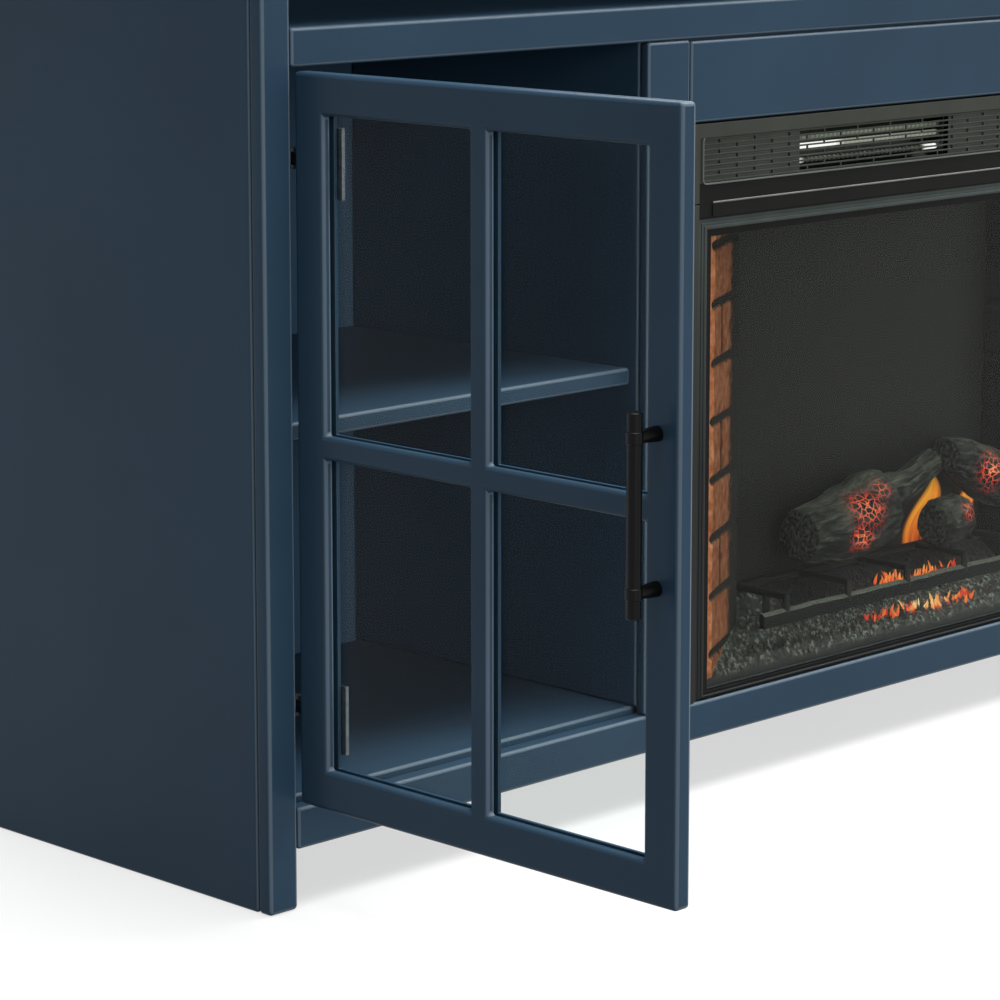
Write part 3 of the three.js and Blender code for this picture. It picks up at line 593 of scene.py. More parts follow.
# %% Where each door stands
STILE_WIDE = 32.0
BAR_WIDE = 18.5
DOOR_ARRIS = 3.2
GLASS_DEPTH = 9.3
GLASS_OVERLAP = 7.0
RETAINER_FROM, RETAINER_TO = 2.9, 5.9
RETAINER_ARRIS = 0.2


def on_left_door(points):
    """From the door's own width, depth and height to the open left door."""
    low, high = corners("left_door_frame")
    u, d, z = np.asarray(points, float).T
    return np.stack([low[0] + d, high[1] - u, low[2] + z], -1)


def on_right_door(points):
    """From the door's own width, depth and height to the shut right door."""
    low, high = corners("right_door_frame")
    u, d, z = np.asarray(points, float).T
    return np.stack([high[0] - u, low[1] + d, low[2] + z], -1)


DOORS = {"left": on_left_door, "right": on_right_door}
low, high = corners("right_door_frame")
door_wide, door_thick, door_high = high - low


def placed(lay, shape):
    """A shape whose points a function lays on its door."""
    return lay(shape[0]), shape[1]


# %% Door frames and glass retainers
def frame_lines(full):
    """The lines of a door's lattice along one side: edges, stiles, glazing bar and rebate."""
    rebate = STILE_WIDE - GLASS_OVERLAP
    bar = (full - BAR_WIDE) / 2
    return np.array([0, rebate, STILE_WIDE, bar, bar + BAR_WIDE, full - STILE_WIDE, full - rebate, full])


across_lines, up_lines = frame_lines(door_wide), frame_lines(door_high)
spans = np.arange(7)
between_bars, within_rebate = np.isin(spans, [2, 4]), (spans >= 1) & (spans <= 5)
pane = between_bars[:, None] & between_bars[None]
sheet_area = within_rebate[:, None] & within_rebate[None]
frame_filled = np.stack([~pane, ~sheet_area], axis=1)
retainer_filled = (sheet_area & ~pane)[:, None]
for hand, lay in DOORS.items():
    lattice = cells([across_lines, [0, GLASS_DEPTH, door_thick], up_lines], frame_filled)
    painted(f"{hand}_door_frame", placed(lay, lattice), f"{hand}_door", DOOR_ARRIS)
    depth = [GLASS_DEPTH + RETAINER_FROM, GLASS_DEPTH + RETAINER_TO]
    across, upwards = across_lines.copy(), up_lines.copy()
    for lines in (across, upwards):
        lines[1] += SEAM
        lines[6] -= SEAM
    lattice = cells([across, depth, upwards], retainer_filled)
    painted(f"{hand}_glass_retainer", placed(lay, lattice), f"{hand}_door", RETAINER_ARRIS)

# %% [markdown]
# ## Clear glass
# The panes are float glass. Glass is clear where one looks straight at it and mirrors more at a
# slant, so it is a mix of Transparent and Glossy. The mirrored share is a small one straight on and
# grows with the fifth power of the slant, a well-known short form of Fresnel's law that is the same
# for both faces of a pane. The photograph was taken in a dim studio, where the panes mirror little,
# so the share straight on is smaller than that of real glass.


# %% Float glass
MIRRORED_EDGE_ON = 0.8


def float_glass(name, tint, straight_on, rough):
    """Clear glass with a mirror image that is faint straight on and strong edge on. The mirrored
    share is straight_on plus what the fifth power of the slant adds up to the share edge on."""
    made, tree, shader = surface(name)
    tree.nodes.remove(shader)
    through = add(tree, "ShaderNodeBsdfTransparent", Color=paint_colour(tint))
    mirror = add(tree, "ShaderNodeBsdfGlossy", Color=paint_colour("#ffffff"), Roughness=rough)
    slant = add(tree, "ShaderNodeLayerWeight", Blend=0.5).outputs["Facing"]
    steep = add(tree, "ShaderNodeMath", {0: slant, 1: 5.0}, operation="POWER")
    share = add(tree, "ShaderNodeMapRange", {"Value": steep}, To_Min=straight_on, To_Max=MIRRORED_EDGE_ON)
    mixed(tree, through, mirror, share)
    return made


door_glass = float_glass("clear_float_glass", "#fcfefd", 0.001, 0.01)
hearth_glass = float_glass("tempered_fire_glass", "#eef0ee", 0.0005, 0.02)


def dress(finish, *nodes):
    """Gives nodes of the frame, whose shape is right as it is, their real finish."""
    for node in nodes:
        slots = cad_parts[node].data.materials
        slots.clear()
        slots.append(finish)


dress(door_glass, "left_door_glass", "right_door_glass")
dress(hearth_glass, "insert_glass")

# %% [markdown]
# ## Bar pulls
# The pulls are black powder-coated steel: a round bar in two collars on two slightly tapered posts.
# They are turned on a lathe in reality, so they are turned here: a profile of radius and distance,
# carried round an axis. Small chamfers on every end catch the light as thin lines.


# %% Black powder coat
def powder_coat(name, low, high, rough, grain_mm=0.9, shine=0.3):
    """Baked powder paint: melted grains leave a fine pebbled skin with an even, soft gloss."""
    made, tree, shader = grained(name, grain_mm, 2.0, [(0.35, low), (0.65, high)],
                                 rough=(rough, rough + 0.1), relief=(0.03, 0.3))
    feed(tree, shader, {"Specular IOR Level": shine})
    return made


black_coat = powder_coat("black_powder_coat", "#020202", "#050505", 0.28, shine=0.1)


# %% Turn the pulls
TIP = 0.01


def bar_with_chamfers(half, radius, chamfer):
    """The profile of a round bar about its middle: chamfer, straight, chamfer."""
    return [(TIP, -half), (radius - chamfer, -half), (radius, chamfer - half), (radius, half - chamfer),
            (radius - chamfer, half), (TIP, half)]


PULL_RADIUS = 5.5
COLLAR_RADIUS = 6.2
COLLAR_HALF = 4.35
POSTS_APART = 111.0
POST_INNER = 4.4
POST_OUTER = 5.75
BAR_CHAMFER, COLLAR_CHAMFER, POST_CHAMFER = 0.7, 0.5, 0.4
for hand, towards in (("left", np.array([1.0, 0, 0])), ("right", np.array([0, 1.0, 0]))):
    low, high = corners(f"{hand}_door_pull")
    middle = (low + high) / 2
    axis = middle - towards * (middle - low - COLLAR_RADIUS)
    long = high[2] - low[2]
    reach = (high - axis) @ towards
    up = (0, 0, 1)
    shapes = [turned(bar_with_chamfers(long / 2, PULL_RADIUS, BAR_CHAMFER), axis, up)]
    for side in (-1, 1):
        seat = axis + np.array([0, 0, side * POSTS_APART / 2])
        shapes.append(turned(bar_with_chamfers(COLLAR_HALF, COLLAR_RADIUS, COLLAR_CHAMFER), seat, up))
        foot = [(POST_OUTER, reach - POST_CHAMFER), (POST_OUTER - POST_CHAMFER, reach), (TIP, reach)]
        post = [(TIP, 0), (POST_INNER, 0), (POST_OUTER, reach - 3 * POST_CHAMFER)] + foot
        shapes.append(turned(post, seat, towards))
    piece(f"{hand}_bar_pull", together(*shapes), black_coat, f"{hand}_door", [f"{hand}_door_pull"],
          "black_pull", smooth=30)

# %% [markdown]
# ## Front of the fireplace insert
# The front is moulded ABS in a warm black. One frame of it holds the vent and forms the flanges at
# both sides; its steps are a millimetre or so deep, and their upper edges show as thin light lines.
# A lattice with four depths gives all of them at once.


# %% Moulded ABS
SHADED_BELOW = 290.0
UNSHADED_ABOVE = 520.0


def moulded_abs(name, low, high, rough, shine=0.35, foot=None):
    """ABS from a spark-eroded mould: a fine, even grain that scatters the shine. A moulding with a foot
    colour turns to that darker colour lower down, as painted shade, and keeps its own colour near the vent."""
    made, tree, shader = surface(name)
    place = add(tree, "ShaderNodeTexCoord").outputs["Object"]
    grain = add(tree, "ShaderNodeTexNoise", {"Vector": place}, Scale=per_metre(1.2), Detail=3.0)
    drift = add(tree, "ShaderNodeTexNoise", {"Vector": place}, Scale=per_metre(45), Detail=2.0)
    colour = ramp(tree, drift, [(0.3, low), (0.7, high)])
    # Painted shade: lower down, the colour darkens towards the foot colour.
    if foot:
        height = add(tree, "ShaderNodeSeparateXYZ", {"Vector": place}).outputs["Z"]
        unshaded_share = add(tree, "ShaderNodeMapRange", {"Value": height}, From_Min=SHADED_BELOW * MM,
                   From_Max=UNSHADED_ABOVE * MM)
        retoned = add(tree, "ShaderNodeMix", {"Factor": unshaded_share}, data_type="RGBA")
        feed(tree, retoned, {6: paint_colour(foot), 7: colour})
        colour = retoned.outputs[2]
    rough_by(tree, shader, grain, rough, rough + 0.12)
    bump(tree, shader, grain, 0.04, 0.4)
    feed(tree, shader, {"Base Color": colour, "Specular IOR Level": shine})
    return made


# The foot colours are painted shade, darker towards the bottom.
warm_black = moulded_abs("moulded_abs_warm_black", "#2f322d", "#353832", 0.45, 0.15, foot="#1c1d1c")
deep_black = moulded_abs("moulded_abs_deep_black", "#10100f", "#141413", 0.5, 0.07)
slate_black = moulded_abs("moulded_abs_slate_black", "#333b39", "#3d4543", 0.45, 0.15, foot="#1c1f1e")
button_black = moulded_abs("moulded_abs_button_black", "#161616", "#1b1b1b", 0.35)

# %% Frame of the insert
FACE_EASE = 0.35
FLANGE_WIDE = 11.0
STEP = 1.0
GROOVE_DEEP = 2.6
BUTTON_HALF = 6.0
BAND_HIGH = 12.5
GROOVE_HIGH = 2.0
NOTCH_HIGH = 1.4
BAND_INSET = 28.5
low, high = corners("insert_face")
vent_low, vent_high = corners("vent_grille")
buttons = [sum(corners(node)) / 2 for node in ("heater_button", "flame_button")]
ledge = buttons[0][2] - BUTTON_HALF
depths = np.array([low[1], low[1] + STEP, low[1] + GROOVE_DEEP, high[1]])


def between(lines):
    """The middles between neighbouring lines."""
    return (lines[:-1] + lines[1:]) / 2


xs = np.array([low[0], low[0] + FLANGE_WIDE, vent_low[0] - SEAM, vent_high[0] + SEAM,
               high[0] - FLANGE_WIDE, high[0]])
zs = np.array([low[2], ledge - NOTCH_HIGH, ledge, vent_low[2] - SEAM, vent_high[2] + SEAM, high[2]])
x_mid, z_mid = between(xs)[:, None], between(zs)[None]
flange = (x_mid < xs[1]) | (x_mid > xs[-2])
beside_vent = (z_mid > zs[3]) & (z_mid < zs[4]) & ((x_mid < xs[2]) | (x_mid > xs[3]))
notch = flange & (z_mid > ledge - NOTCH_HIGH) & (z_mid < ledge)
solid = flange | (z_mid > zs[4]) | beside_vent
front = (flange | (z_mid > zs[4])) & ~notch
middle = solid & ~notch
piece("insert_header", cells([xs, depths, zs], np.stack([front, middle, solid], axis=1)), warm_black,
      replaces=["insert_face"], slot="insert_black", ease=FACE_EASE)

# %% [markdown]
# The insert stands in its opening with a gap of a few millimetres, and the back of the bay is open.
# Black strips lie behind the gap at both sides and on top and stand in for the shade in it, so that no
# daylight shows there.

# %% Black strips for the shade behind the gap
SHADE_STRIP_THICK = 2.0
SHADE_STRIP_LAP = 8.0
SHADE_STRIP_REACH = 5.5
stile_high, stile_low = corners("left_inner_stile")[1], corners("right_inner_stile")[0]
shade_strip_y = [stile_high[1] + SEAM, stile_high[1] + SEAM + SHADE_STRIP_THICK]
covered_low, covered_high = low + SHADE_STRIP_REACH, high - SHADE_STRIP_REACH
SHADE_STRIPS = {
    "left": ([stile_high[0] - SHADE_STRIP_LAP, covered_low[0]], [low[2], high[2]]),
    "right": ([covered_high[0], stile_low[0] + SHADE_STRIP_LAP], [low[2], high[2]]),
    "top": ([covered_low[0] + SEAM, covered_high[0] - SEAM], [covered_high[2], panel_low[2] + SHADE_STRIP_LAP]),
}
# These black strips stand in for the shade behind the gap.
for place, span in SHADE_STRIPS.items():
    ends = np.stack([span[0], shade_strip_y, span[1]], -1)
    strip = eased_board(*ends, 0.4, 2)
    piece(f"{place}_black_shade_strip", strip, deep_black, slot="insert_black")

# %% [markdown]
# Below the vent the same moulding is darker and stepped: a face that lies a millimetre back, then a
# band that stands forward again, whose upper edge is the thin light line across the whole front.

# %% Apron with its band
xs = [low[0] + FLANGE_WIDE, low[0] + BAND_INSET]
xs += [b[0] + side * BUTTON_HALF for b in buttons for side in (-1, 1)]
xs = np.array(xs + [high[0] - BAND_INSET, high[0] - FLANGE_WIDE])
zs = np.array([ledge - BAND_HIGH - GROOVE_HIGH, ledge - BAND_HIGH, ledge, ledge + 2 * BUTTON_HALF,
               vent_low[2] - SEAM])
x_mid, z_mid = between(xs)[:, None], between(zs)[None]
button_row = (z_mid > ledge) & (z_mid < ledge + 2 * BUTTON_HALF)
solid = ~(np.any([abs(x_mid - b[0]) < BUTTON_HALF for b in buttons], axis=0) & button_row)
middle = solid & (z_mid > ledge - BAND_HIGH)
front = middle & (z_mid < ledge) & (x_mid > xs[1]) & (x_mid < xs[-2])
piece("insert_apron", cells([xs, depths, zs], np.stack([front, middle, solid], axis=1)), deep_black,
      slot="insert_black", ease=FACE_EASE)

# %% [markdown]
# The trim round the window is a separate moulding. Its profile is drawn once, from the window's edge
# outwards: a dark inner lip, then a crest and two fine grooves on a face that falls away to the
# flange. Carried round the window's four corners it mitres by itself. At the foot there is less
# room, so the profile is squeezed there.

# %% Trim round the window
TRIM_WIDE = 17.5
TRIM_TOP = 15.5
TRIM_SIDE = 30.0
TRIM_FOOT = 6.1
ABOVE_SILL = 0.1
half_window = high[0] - TRIM_SIDE
window_bottom = low[2] + TRIM_FOOT + ABOVE_SILL
window_top = ledge - BAND_HIGH - GROOVE_HIGH - TRIM_TOP
foot, head = TRIM_FOOT / TRIM_WIDE, TRIM_TOP / TRIM_WIDE
sides = np.array([-1, -1, 1, 1])
heights = np.array([window_bottom, window_top, window_top, window_bottom])
trim_path = np.stack([sides * half_window, 0 * sides + low[1], heights], -1)
mitres = np.stack([sides, 0 * sides, [-foot, head, head, -foot]], -1)
LIP_PROFILE = [(0, 5.4), (0, 3.2), (0.4, 2.8), (7.3, 2.8), (7.3, 5.4)]
CREST_PROFILE = [
    (7.3, 5.4), (7.3, 1.6), (8.0, 0.7), (9.0, 0.4), (10.8, 0.9), (11.1, 1.6), (11.7, 1.6), (12.0, 1.3),
    (13.8, 1.7), (14.1, 2.4), (14.7, 2.4), (15.0, 2.1), (17.5, 2.8), (17.5, 5.4),
]
piece("window_lip", carried(LIP_PROFILE, trim_path, mitres, (0, 1, 0)), deep_black,
      slot="insert_black", smooth=25)
piece("window_trim", carried(CREST_PROFILE, trim_path, mitres, (0, 1, 0)), slate_black,
      slot="insert_black", ease=0.2, smooth=25)

# %% [markdown]
# The vent is a grid of eight rows of slots. Its ribs are staggered from row to row like bricks, so a
# lattice is the natural way again: lines at every rib and every bar, and a rule for which cells are
# open.

# %% Vent
VENT_ROWS = 8
RIB_SPACING = 46.6
RIB_WIDE = 1.6
GRID_DEEP = 1.5
BAR_HIGH = 1.5
VENT_EDGE = 1.8
vent_wide, vent_tall = vent_high[0] - vent_low[0], vent_high[2] - vent_low[2]
row_pitch = (vent_tall - 2 * VENT_EDGE + BAR_HIGH) / VENT_ROWS
ribs = np.arange(1, int((vent_wide - RIB_SPACING / 4) / (RIB_SPACING / 2)) + 1)
rib_edges = vent_low[0] + ribs[:, None] * RIB_SPACING / 2 + np.array([-RIB_WIDE, RIB_WIDE]) / 2
xs = [vent_low[0], vent_low[0] + VENT_EDGE, *rib_edges.ravel(), vent_high[0] - VENT_EDGE, vent_high[0]]
slot_low = vent_low[2] + VENT_EDGE + np.arange(VENT_ROWS) * row_pitch
slot_edges = np.stack([slot_low, slot_low + row_pitch - BAR_HIGH], -1)
zs = [vent_low[2], *slot_edges.ravel(), vent_high[2]]
column, level = np.arange(len(xs) - 1)[:, None], np.arange(len(zs) - 1)[None]
within = (column > 0) & (column < len(xs) - 2)
is_slot_row = level % 2 == 1
is_rib = column % 2 == 0
same_parity = column // 2 % 2 == level // 2 % 2
opened = is_slot_row & within & ~(is_rib & same_parity)
piece("vent_grid", cells([xs, [vent_low[1], vent_low[1] + GRID_DEEP], zs], ~opened[:, None]), warm_black,
      replaces=["vent_grille"], slot="insert_black", ease=0.3)

# %% [markdown]
# Two thin lines catch the light on this dark front: a raised rim beside and below the vent, and a bead
# along the upper edge of the band under it. Both are a millimetre or so wide, and their colour is paler
# than the grained faces beside them, a painted highlight.

# %% Rim and bead
RIM_WIDE = 1.5
RIM_PROUD = 0.7
RIM_CORNER = 3.0
RIM_STEPS = 6
# Painted highlight: the rim and the bead are a paler grey than the moulding round them.
pale_rim_abs = moulded_abs("moulded_abs_rim_painted_highlight", "#565b56", "#626762", 0.3, 0.3)
rim_path, outwards = round_rectangle(vent_low, vent_high, 0, RIM_CORNER, SEAM, low[1], RIM_STEPS)
RIM_PROFILE = [(0, 0.8), (0, 0), (0.3, -RIM_PROUD), (RIM_WIDE - 0.3, -RIM_PROUD), (RIM_WIDE, 0),
               (RIM_WIDE, 0.8)]
three_sides = np.roll(np.arange(4 * RIM_STEPS), -RIM_STEPS)[2:-2]
rim = carried(RIM_PROFILE, rim_path[three_sides], outwards[three_sides], (0, 1, 0), closed=False)
bead_xs = np.linspace(low[0] + BAND_INSET, high[0] - BAND_INSET, 9)
bead = tube([(x, low[1] + 0.3, ledge - 0.2) for x in bead_xs], 0.9, 10)
piece("vent_rim", together(rim, bead), pale_rim_abs, slot="insert_black", smooth=50)

# %% [markdown]
# Two push buttons, for the heat and for the flames, sit in round bezels with a soft outer edge. The
# outer circle of a bezel is turned, so its profile is carried round a circle of directions.

# %% Buttons and their bezels
dress(button_black, "heater_button", "flame_button")
BEZEL_INNER = 5.9
BEZEL_OUTER = 9.5
BEZEL_DEEP = 3.6
BEZEL = [(BEZEL_INNER, BEZEL_DEEP), (BEZEL_INNER, 0.3), (BEZEL_INNER + 0.5, -0.2),
         (BEZEL_OUTER - 0.8, -0.2), (BEZEL_OUTER, 0.6), (BEZEL_OUTER, BEZEL_DEEP)]
round_turn = np.linspace(0, 2 * math.pi, 32, endpoint=False)
circle = np.stack([np.cos(round_turn), 0 * round_turn, np.sin(round_turn)], -1)
rings = [carried(BEZEL, np.zeros((32, 3)) + (b[0], low[1], b[2]), circle, (0, 1, 0)) for b in buttons]
piece("button_bezels", together(*rings), deep_black, slot="insert_black", smooth=30)

# %% [markdown]
# Fine grey mesh beside the heater keeps lint out of the case. It is far too fine to see its threads
# from outside, where it reads as an even grey behind the slots.

# %% Dust screens behind the vent
lint_mesh = moulded_abs("woven_lint_mesh", "#494b48", "#535551", 0.8, 0.1)
heater_low, heater_high = corners("heater_element")
MESH_BACK = 1.4
MESH_THICK = 0.6
MESH_SPANS = {"left": (vent_low[0] - 2, heater_low[0] - 1), "right": (heater_high[0] - 4, vent_high[0] + 2)}
for hand, ends in MESH_SPANS.items():
    mesh_low = [ends[0], vent_low[1] + GRID_DEEP + MESH_BACK, vent_low[2] - 3]
    mesh_high = [ends[1], mesh_low[1] + MESH_THICK, vent_high[2] + 2]
    piece(f"{hand}_lint_mesh", eased_board(mesh_low, mesh_high, 0.2, 2), lint_mesh, slot="insert_black")

# %% [markdown]
# ## Heater behind the vent
# A polished reflector curves behind three quartz tubes, between two end plates. Seen through the slots, the
# tubes are the only bright things in the header. Their bright places are painted highlights, given as light
# that the tubes send out: the middle one shines white at its left, and the lowest one only at its ends.


# %% Quartz tubes
def quartz_tube(name, stops):
    """A quartz tube with a coil in it: clear silica, with painted highlights given as light that depends on
    the place along it.
    """
    made, tree, shader = surface(name)
    place = add(tree, "ShaderNodeTexCoord").outputs["Object"]
    across = add(tree, "ShaderNodeSeparateXYZ", {"Vector": place}).outputs["X"]
    along = add(tree, "ShaderNodeMapRange", {"Value": across},
                From_Min=tube_from * MM, From_Max=tube_to * MM)
    glow = ramp(tree, along, stops)
    coil = add(tree, "ShaderNodeTexWave", {"Vector": place}, Scale=per_metre(20), Distortion=0.5)
    colour = ramp(tree, coil.outputs["Fac"], [(0.2, "#3a3f38"), (0.8, "#6c7466")])
    feed(tree, shader, {"Base Color": colour, "Roughness": 0.15, "Emission Color": glow,
                        "Emission Strength": 1.0})
    return made


tube_from, tube_to = heater_low[0], heater_high[0]
# The stops paint highlights along each tube, as light that it sends out.
TUBES = {
    "lower": (35.0, [(0, "#050505"), (0.03, "#ffffff"), (0.07, "#d0d0c8"), (0.1, "#080808"),
                     (0.88, "#080808"), (0.91, "#e8e8e0"), (0.97, "#ffffff"), (1, "#303030")]),
    "middle": (48.0, [(0, "#c8c8c0"), (0.03, "#ffffff"), (0.3, "#f4f4ec"), (0.36, "#8a8e82"),
                      (1, "#6c7066")]),
    "upper": (56.0, [(0, "#3c4238"), (0.5, "#4c5446"), (1, "#3c4238")]),
}
TUBE_RADIUS = 2.5
END_THICK = 3.0
heater_depth = (heater_low[1] + heater_high[1]) / 2
for name, (rise, stops) in TUBES.items():
    height = heater_low[2] + rise
    ends = [tube_from + END_THICK / 2, tube_to - END_THICK / 2]
    shape = tube([(x, heater_depth, height) for x in np.linspace(*ends, 9)], TUBE_RADIUS, 20)
    piece(f"{name}_quartz_tube", shape, quartz_tube(f"quartz_tube_{name}", stops), slot="bright_reflector")

# %% Reflector and end plates
bright_sheet = zinc_plated_steel("polished_aluminium_sheet", "#262824", "#383b37", 0.25)
REFLECTOR_FROM, REFLECTOR_TO = 26.0, 66.0
REFLECTOR_DEEP = 5.0
REFLECTOR_TURN = math.pi / 2.4
SHEET = 1.0
bend = np.linspace(-REFLECTOR_TURN, REFLECTOR_TURN, 17)
mid_height = heater_low[2] + (REFLECTOR_FROM + REFLECTOR_TO) / 2
half_height = (REFLECTOR_TO - REFLECTOR_FROM) / 2
curve_y = heater_high[1] - SHEET - REFLECTOR_DEEP * (1 - np.cos(bend)) / (1 - math.cos(REFLECTOR_TURN))
curve_z = mid_height + half_height * np.sin(bend) / math.sin(REFLECTOR_TURN)
inner = np.stack([curve_y, curve_z], -1)[::-1]
section = np.concatenate([inner[::-1] + (SHEET, 0), inner])
path = [(tube_from + END_THICK, 0, 0), (tube_to - END_THICK, 0, 0)]
parts = [carried(section, path, (0, 1, 0), (0, 0, 1), closed=False)]
for x in (tube_from, tube_to - END_THICK):
    parts.append(eased_board([x, *heater_low[1:]], [x + END_THICK, *heater_high[1:]], 0.8))
piece("heater_reflector", together(*parts), bright_sheet, replaces=["heater_element"],
      slot="bright_reflector")

# %% [markdown]
# ## Noise for rough things
# Bark, brick and coal need shapes that are rough but repeat in every run. Value noise gives that:
# random numbers from a fixed seed sit at the corners of a lattice of cubes, and a point takes a
# smooth blend of the eight around it. A cell pattern gives each point the nearest of one scattered
# centre per square, which is how gravel and cinders are laid out.


# %% Value noise and cells
NOISE_PERIOD = 24
CHUNK_PERIOD = 64


def value_noise(points, size, seed):
    """Random values at the corners of boxes of that size, blended smoothly between the corners."""
    table = np.random.default_rng(seed).random((NOISE_PERIOD, NOISE_PERIOD, NOISE_PERIOD))
    scaled = np.asarray(points, float) / size
    cell = np.floor(scaled).astype(int)
    part = scaled - cell
    part = part * part * (3 - 2 * part)
    total = 0
    for corner in np.ndindex(2, 2, 2):
        at = (cell + corner) % NOISE_PERIOD
        weight = np.prod(np.where(corner, part, 1 - part), axis=-1)
        total = total + weight * table[at[..., 0], at[..., 1], at[..., 2]]
    return total


def nearest_chunk(u, v, size, seed):
    """For each place, the distance to the nearest scattered centre as a share of the size, how far
    the second nearest is beyond it, and the nearest centre's own random number."""
    table = np.random.default_rng(seed).random((CHUNK_PERIOD, CHUNK_PERIOD, 3))
    u, v = u / size, v / size
    cell_u, cell_v = np.floor(u).astype(int), np.floor(v).astype(int)
    first = np.full(u.shape, 9.0)
    second = np.full(u.shape, 9.0)
    number = np.zeros(u.shape)
    for du, dv in np.ndindex(3, 3):
        cu, cv = cell_u + du - 1, cell_v + dv - 1
        shift = table[cu % CHUNK_PERIOD, cv % CHUNK_PERIOD]
        gap = np.hypot(cu + shift[..., 0] - u, cv + shift[..., 1] - v)
        closer = gap < first
        second = np.where(closer, first, np.minimum(second, gap))
        number = np.where(closer, shift[..., 2], number)
        first = np.where(closer, gap, first)
    return first, second - first, number


def smooth_step(value, low, high):
    """0 below low, 1 above high, and an easy S-curve between them."""
    share = np.clip((value - low) / (high - low), 0, 1)
    return share * share * (3 - 2 * share)


# %% [markdown]
# ## Brick liners
# The liners are moulded fibre panels that pass for brickwork. Their relief is a height over two parameters,
# the way along the panel's bent plan and the height above the floor. Level joints run in from the front
# edge with round ends, and short upright ones stand in every second course. The joints are dark. The far
# end is darkened to black as painted shade, and the slanted face is painted darker than the edge that looks
# to the front, as painted shade too.


# %% Brick with dark joints and painted shade
def brick_with_painted_shade():
    """Sandy clay from brown to pale orange on the bricks, and near black where the surface isn't bare and
    lit: in the joints, and as painted shade towards the far end and on the slanted face."""
    made, tree, shader = surface("moulded_fibre_brick")
    place = add(tree, "ShaderNodeTexCoord").outputs["Object"]
    sand = add(tree, "ShaderNodeTexNoise", {"Vector": place}, Scale=per_metre(9), Detail=8.0)
    clay = ramp(tree, sand, [(0.3, "#b0623a"), (0.5, "#de885a"), (0.7, "#fcae80")])
    bare = add(tree, "ShaderNodeAttribute", attribute_name="bare")
    mix = add(tree, "ShaderNodeMix", {"Factor": bare.outputs["Fac"]}, data_type="RGBA")
    feed(tree, mix, {6: paint_colour("#201f1c"), 7: clay})
    bump(tree, shader, sand, 0.6, 0.6)
    feed(tree, shader, {"Base Color": mix.outputs[2], "Roughness": 0.85, "Specular IOR Level": 0.2})
    return made


brick = brick_with_painted_shade()
COURSE = 52.2
FIRST_JOINT = 28.3
JOINT_HIGH = 8.5
JOINT_DEEP = 3.0
JOINT_WAVE = 2.4
UPRIGHT_JOINT = 8.5
UPRIGHT_AT = 31.0
EDGE_WIDE = 20.5
JOINT_START = 21.2
SHADE_STARTS = 236.0
SHADE_FULL = 218.0
SHADED_FACE_TONE = 0.46
CELL = 1.5
PANEL_THICK = 6
SLANT_ENDS = 26.0
SLANT_FACES = (-0.4662, -0.8847)


def brick_liner(side):
    """The points of the panel's face, and for each how bare it is of the dark joints and how lit, where the
    far end and the slanted face get painted shade. A point lies out from the plan by a height that is low
    in the joints and rough on the bricks. The plan has an edge that looks to the front, a slanted face and
    a short end. side is -1 for the left liner and 1 for the right."""
    low, high = corners("left_brick_liner" if side < 0 else "right_brick_liner")
    inside, outside = sorted([abs(low[0]), abs(high[0])])
    corner_x = outside - EDGE_WIDE
    bend_y = high[1] - SLANT_ENDS
    plan = np.array([(outside, low[1]), (corner_x, low[1]), (inside, bend_y), (inside, high[1])])
    lengths = np.linalg.norm(np.diff(plan, axis=0), axis=1)
    stops = np.concatenate([[0], np.cumsum(lengths)])
    t = np.unique(np.concatenate([np.arange(0, stops[-1], CELL), stops]))
    z = np.arange(low[2], high[2] + CELL / 2, CELL)
    z[-1] = high[2]
    x = np.interp(t, stops, plan[:, 0])
    y = np.interp(t, stops, plan[:, 1])
    ahead = np.array([(0, -1), (0, -1), SLANT_FACES, (-1, 0), (-1, 0)])
    knots = [0, stops[1] - 1, stops[1] + 1, stops[2] + 1, stops[-1]]
    face_x = np.interp(t, knots, ahead[:, 0])
    face_y = np.interp(t, knots, ahead[:, 1])
    t_grid, z_grid = np.meshgrid(t, z, indexing="ij")
    surface_point = np.stack([x[:, None] + 0 * z_grid, y[:, None] + 0 * z_grid, z_grid], -1)
    wave = JOINT_WAVE * (value_noise(surface_point, 11, 5) - 0.5)
    rise = (z_grid - low[2] - FIRST_JOINT + wave * 0.5) / COURSE
    course = np.floor(rise + 0.5)
    off_level = abs(rise - course) * COURSE
    past_end = np.maximum(JOINT_START + wave * 0.5 - t_grid, 0)
    level = np.hypot(off_level, past_end) / (JOINT_HIGH / 2)
    every_second = np.floor(rise).astype(int) % 2 == 1
    off_upright = abs(t_grid - stops[1] - UPRIGHT_AT + wave * 0.3) / (UPRIGHT_JOINT / 2)
    upright = np.where(every_second, off_upright, 9.0)
    depth = 1 - smooth_step(np.minimum(level, upright), 0.75, 1.25)
    rough = 0.9 * value_noise(surface_point, 3.1, 6) + 1.3 * value_noise(surface_point, 8, 7)
    out = -JOINT_DEEP * depth - (1 - depth) * rough * 0.6
    points = surface_point.copy()
    points[..., 0] += out * face_x[:, None]
    points[..., 1] += out * face_y[:, None]
    points[..., 0] *= side
    # Painted shade: the far end of the panel and its slanted face turn darker than the front edge.
    shade_line = x[:, None] + 9 * (value_noise(surface_point, 5, 8) - 0.5)
    on_lit_edge = 1 - smooth_step(t_grid, EDGE_WIDE - 0.5, EDGE_WIDE + 1.5)
    out_of_shade = smooth_step(shade_line, SHADE_FULL, SHADE_STARTS) * (SHADED_FACE_TONE + (1 - SHADED_FACE_TONE) * on_lit_edge)
    return points, (1 - depth) * out_of_shade


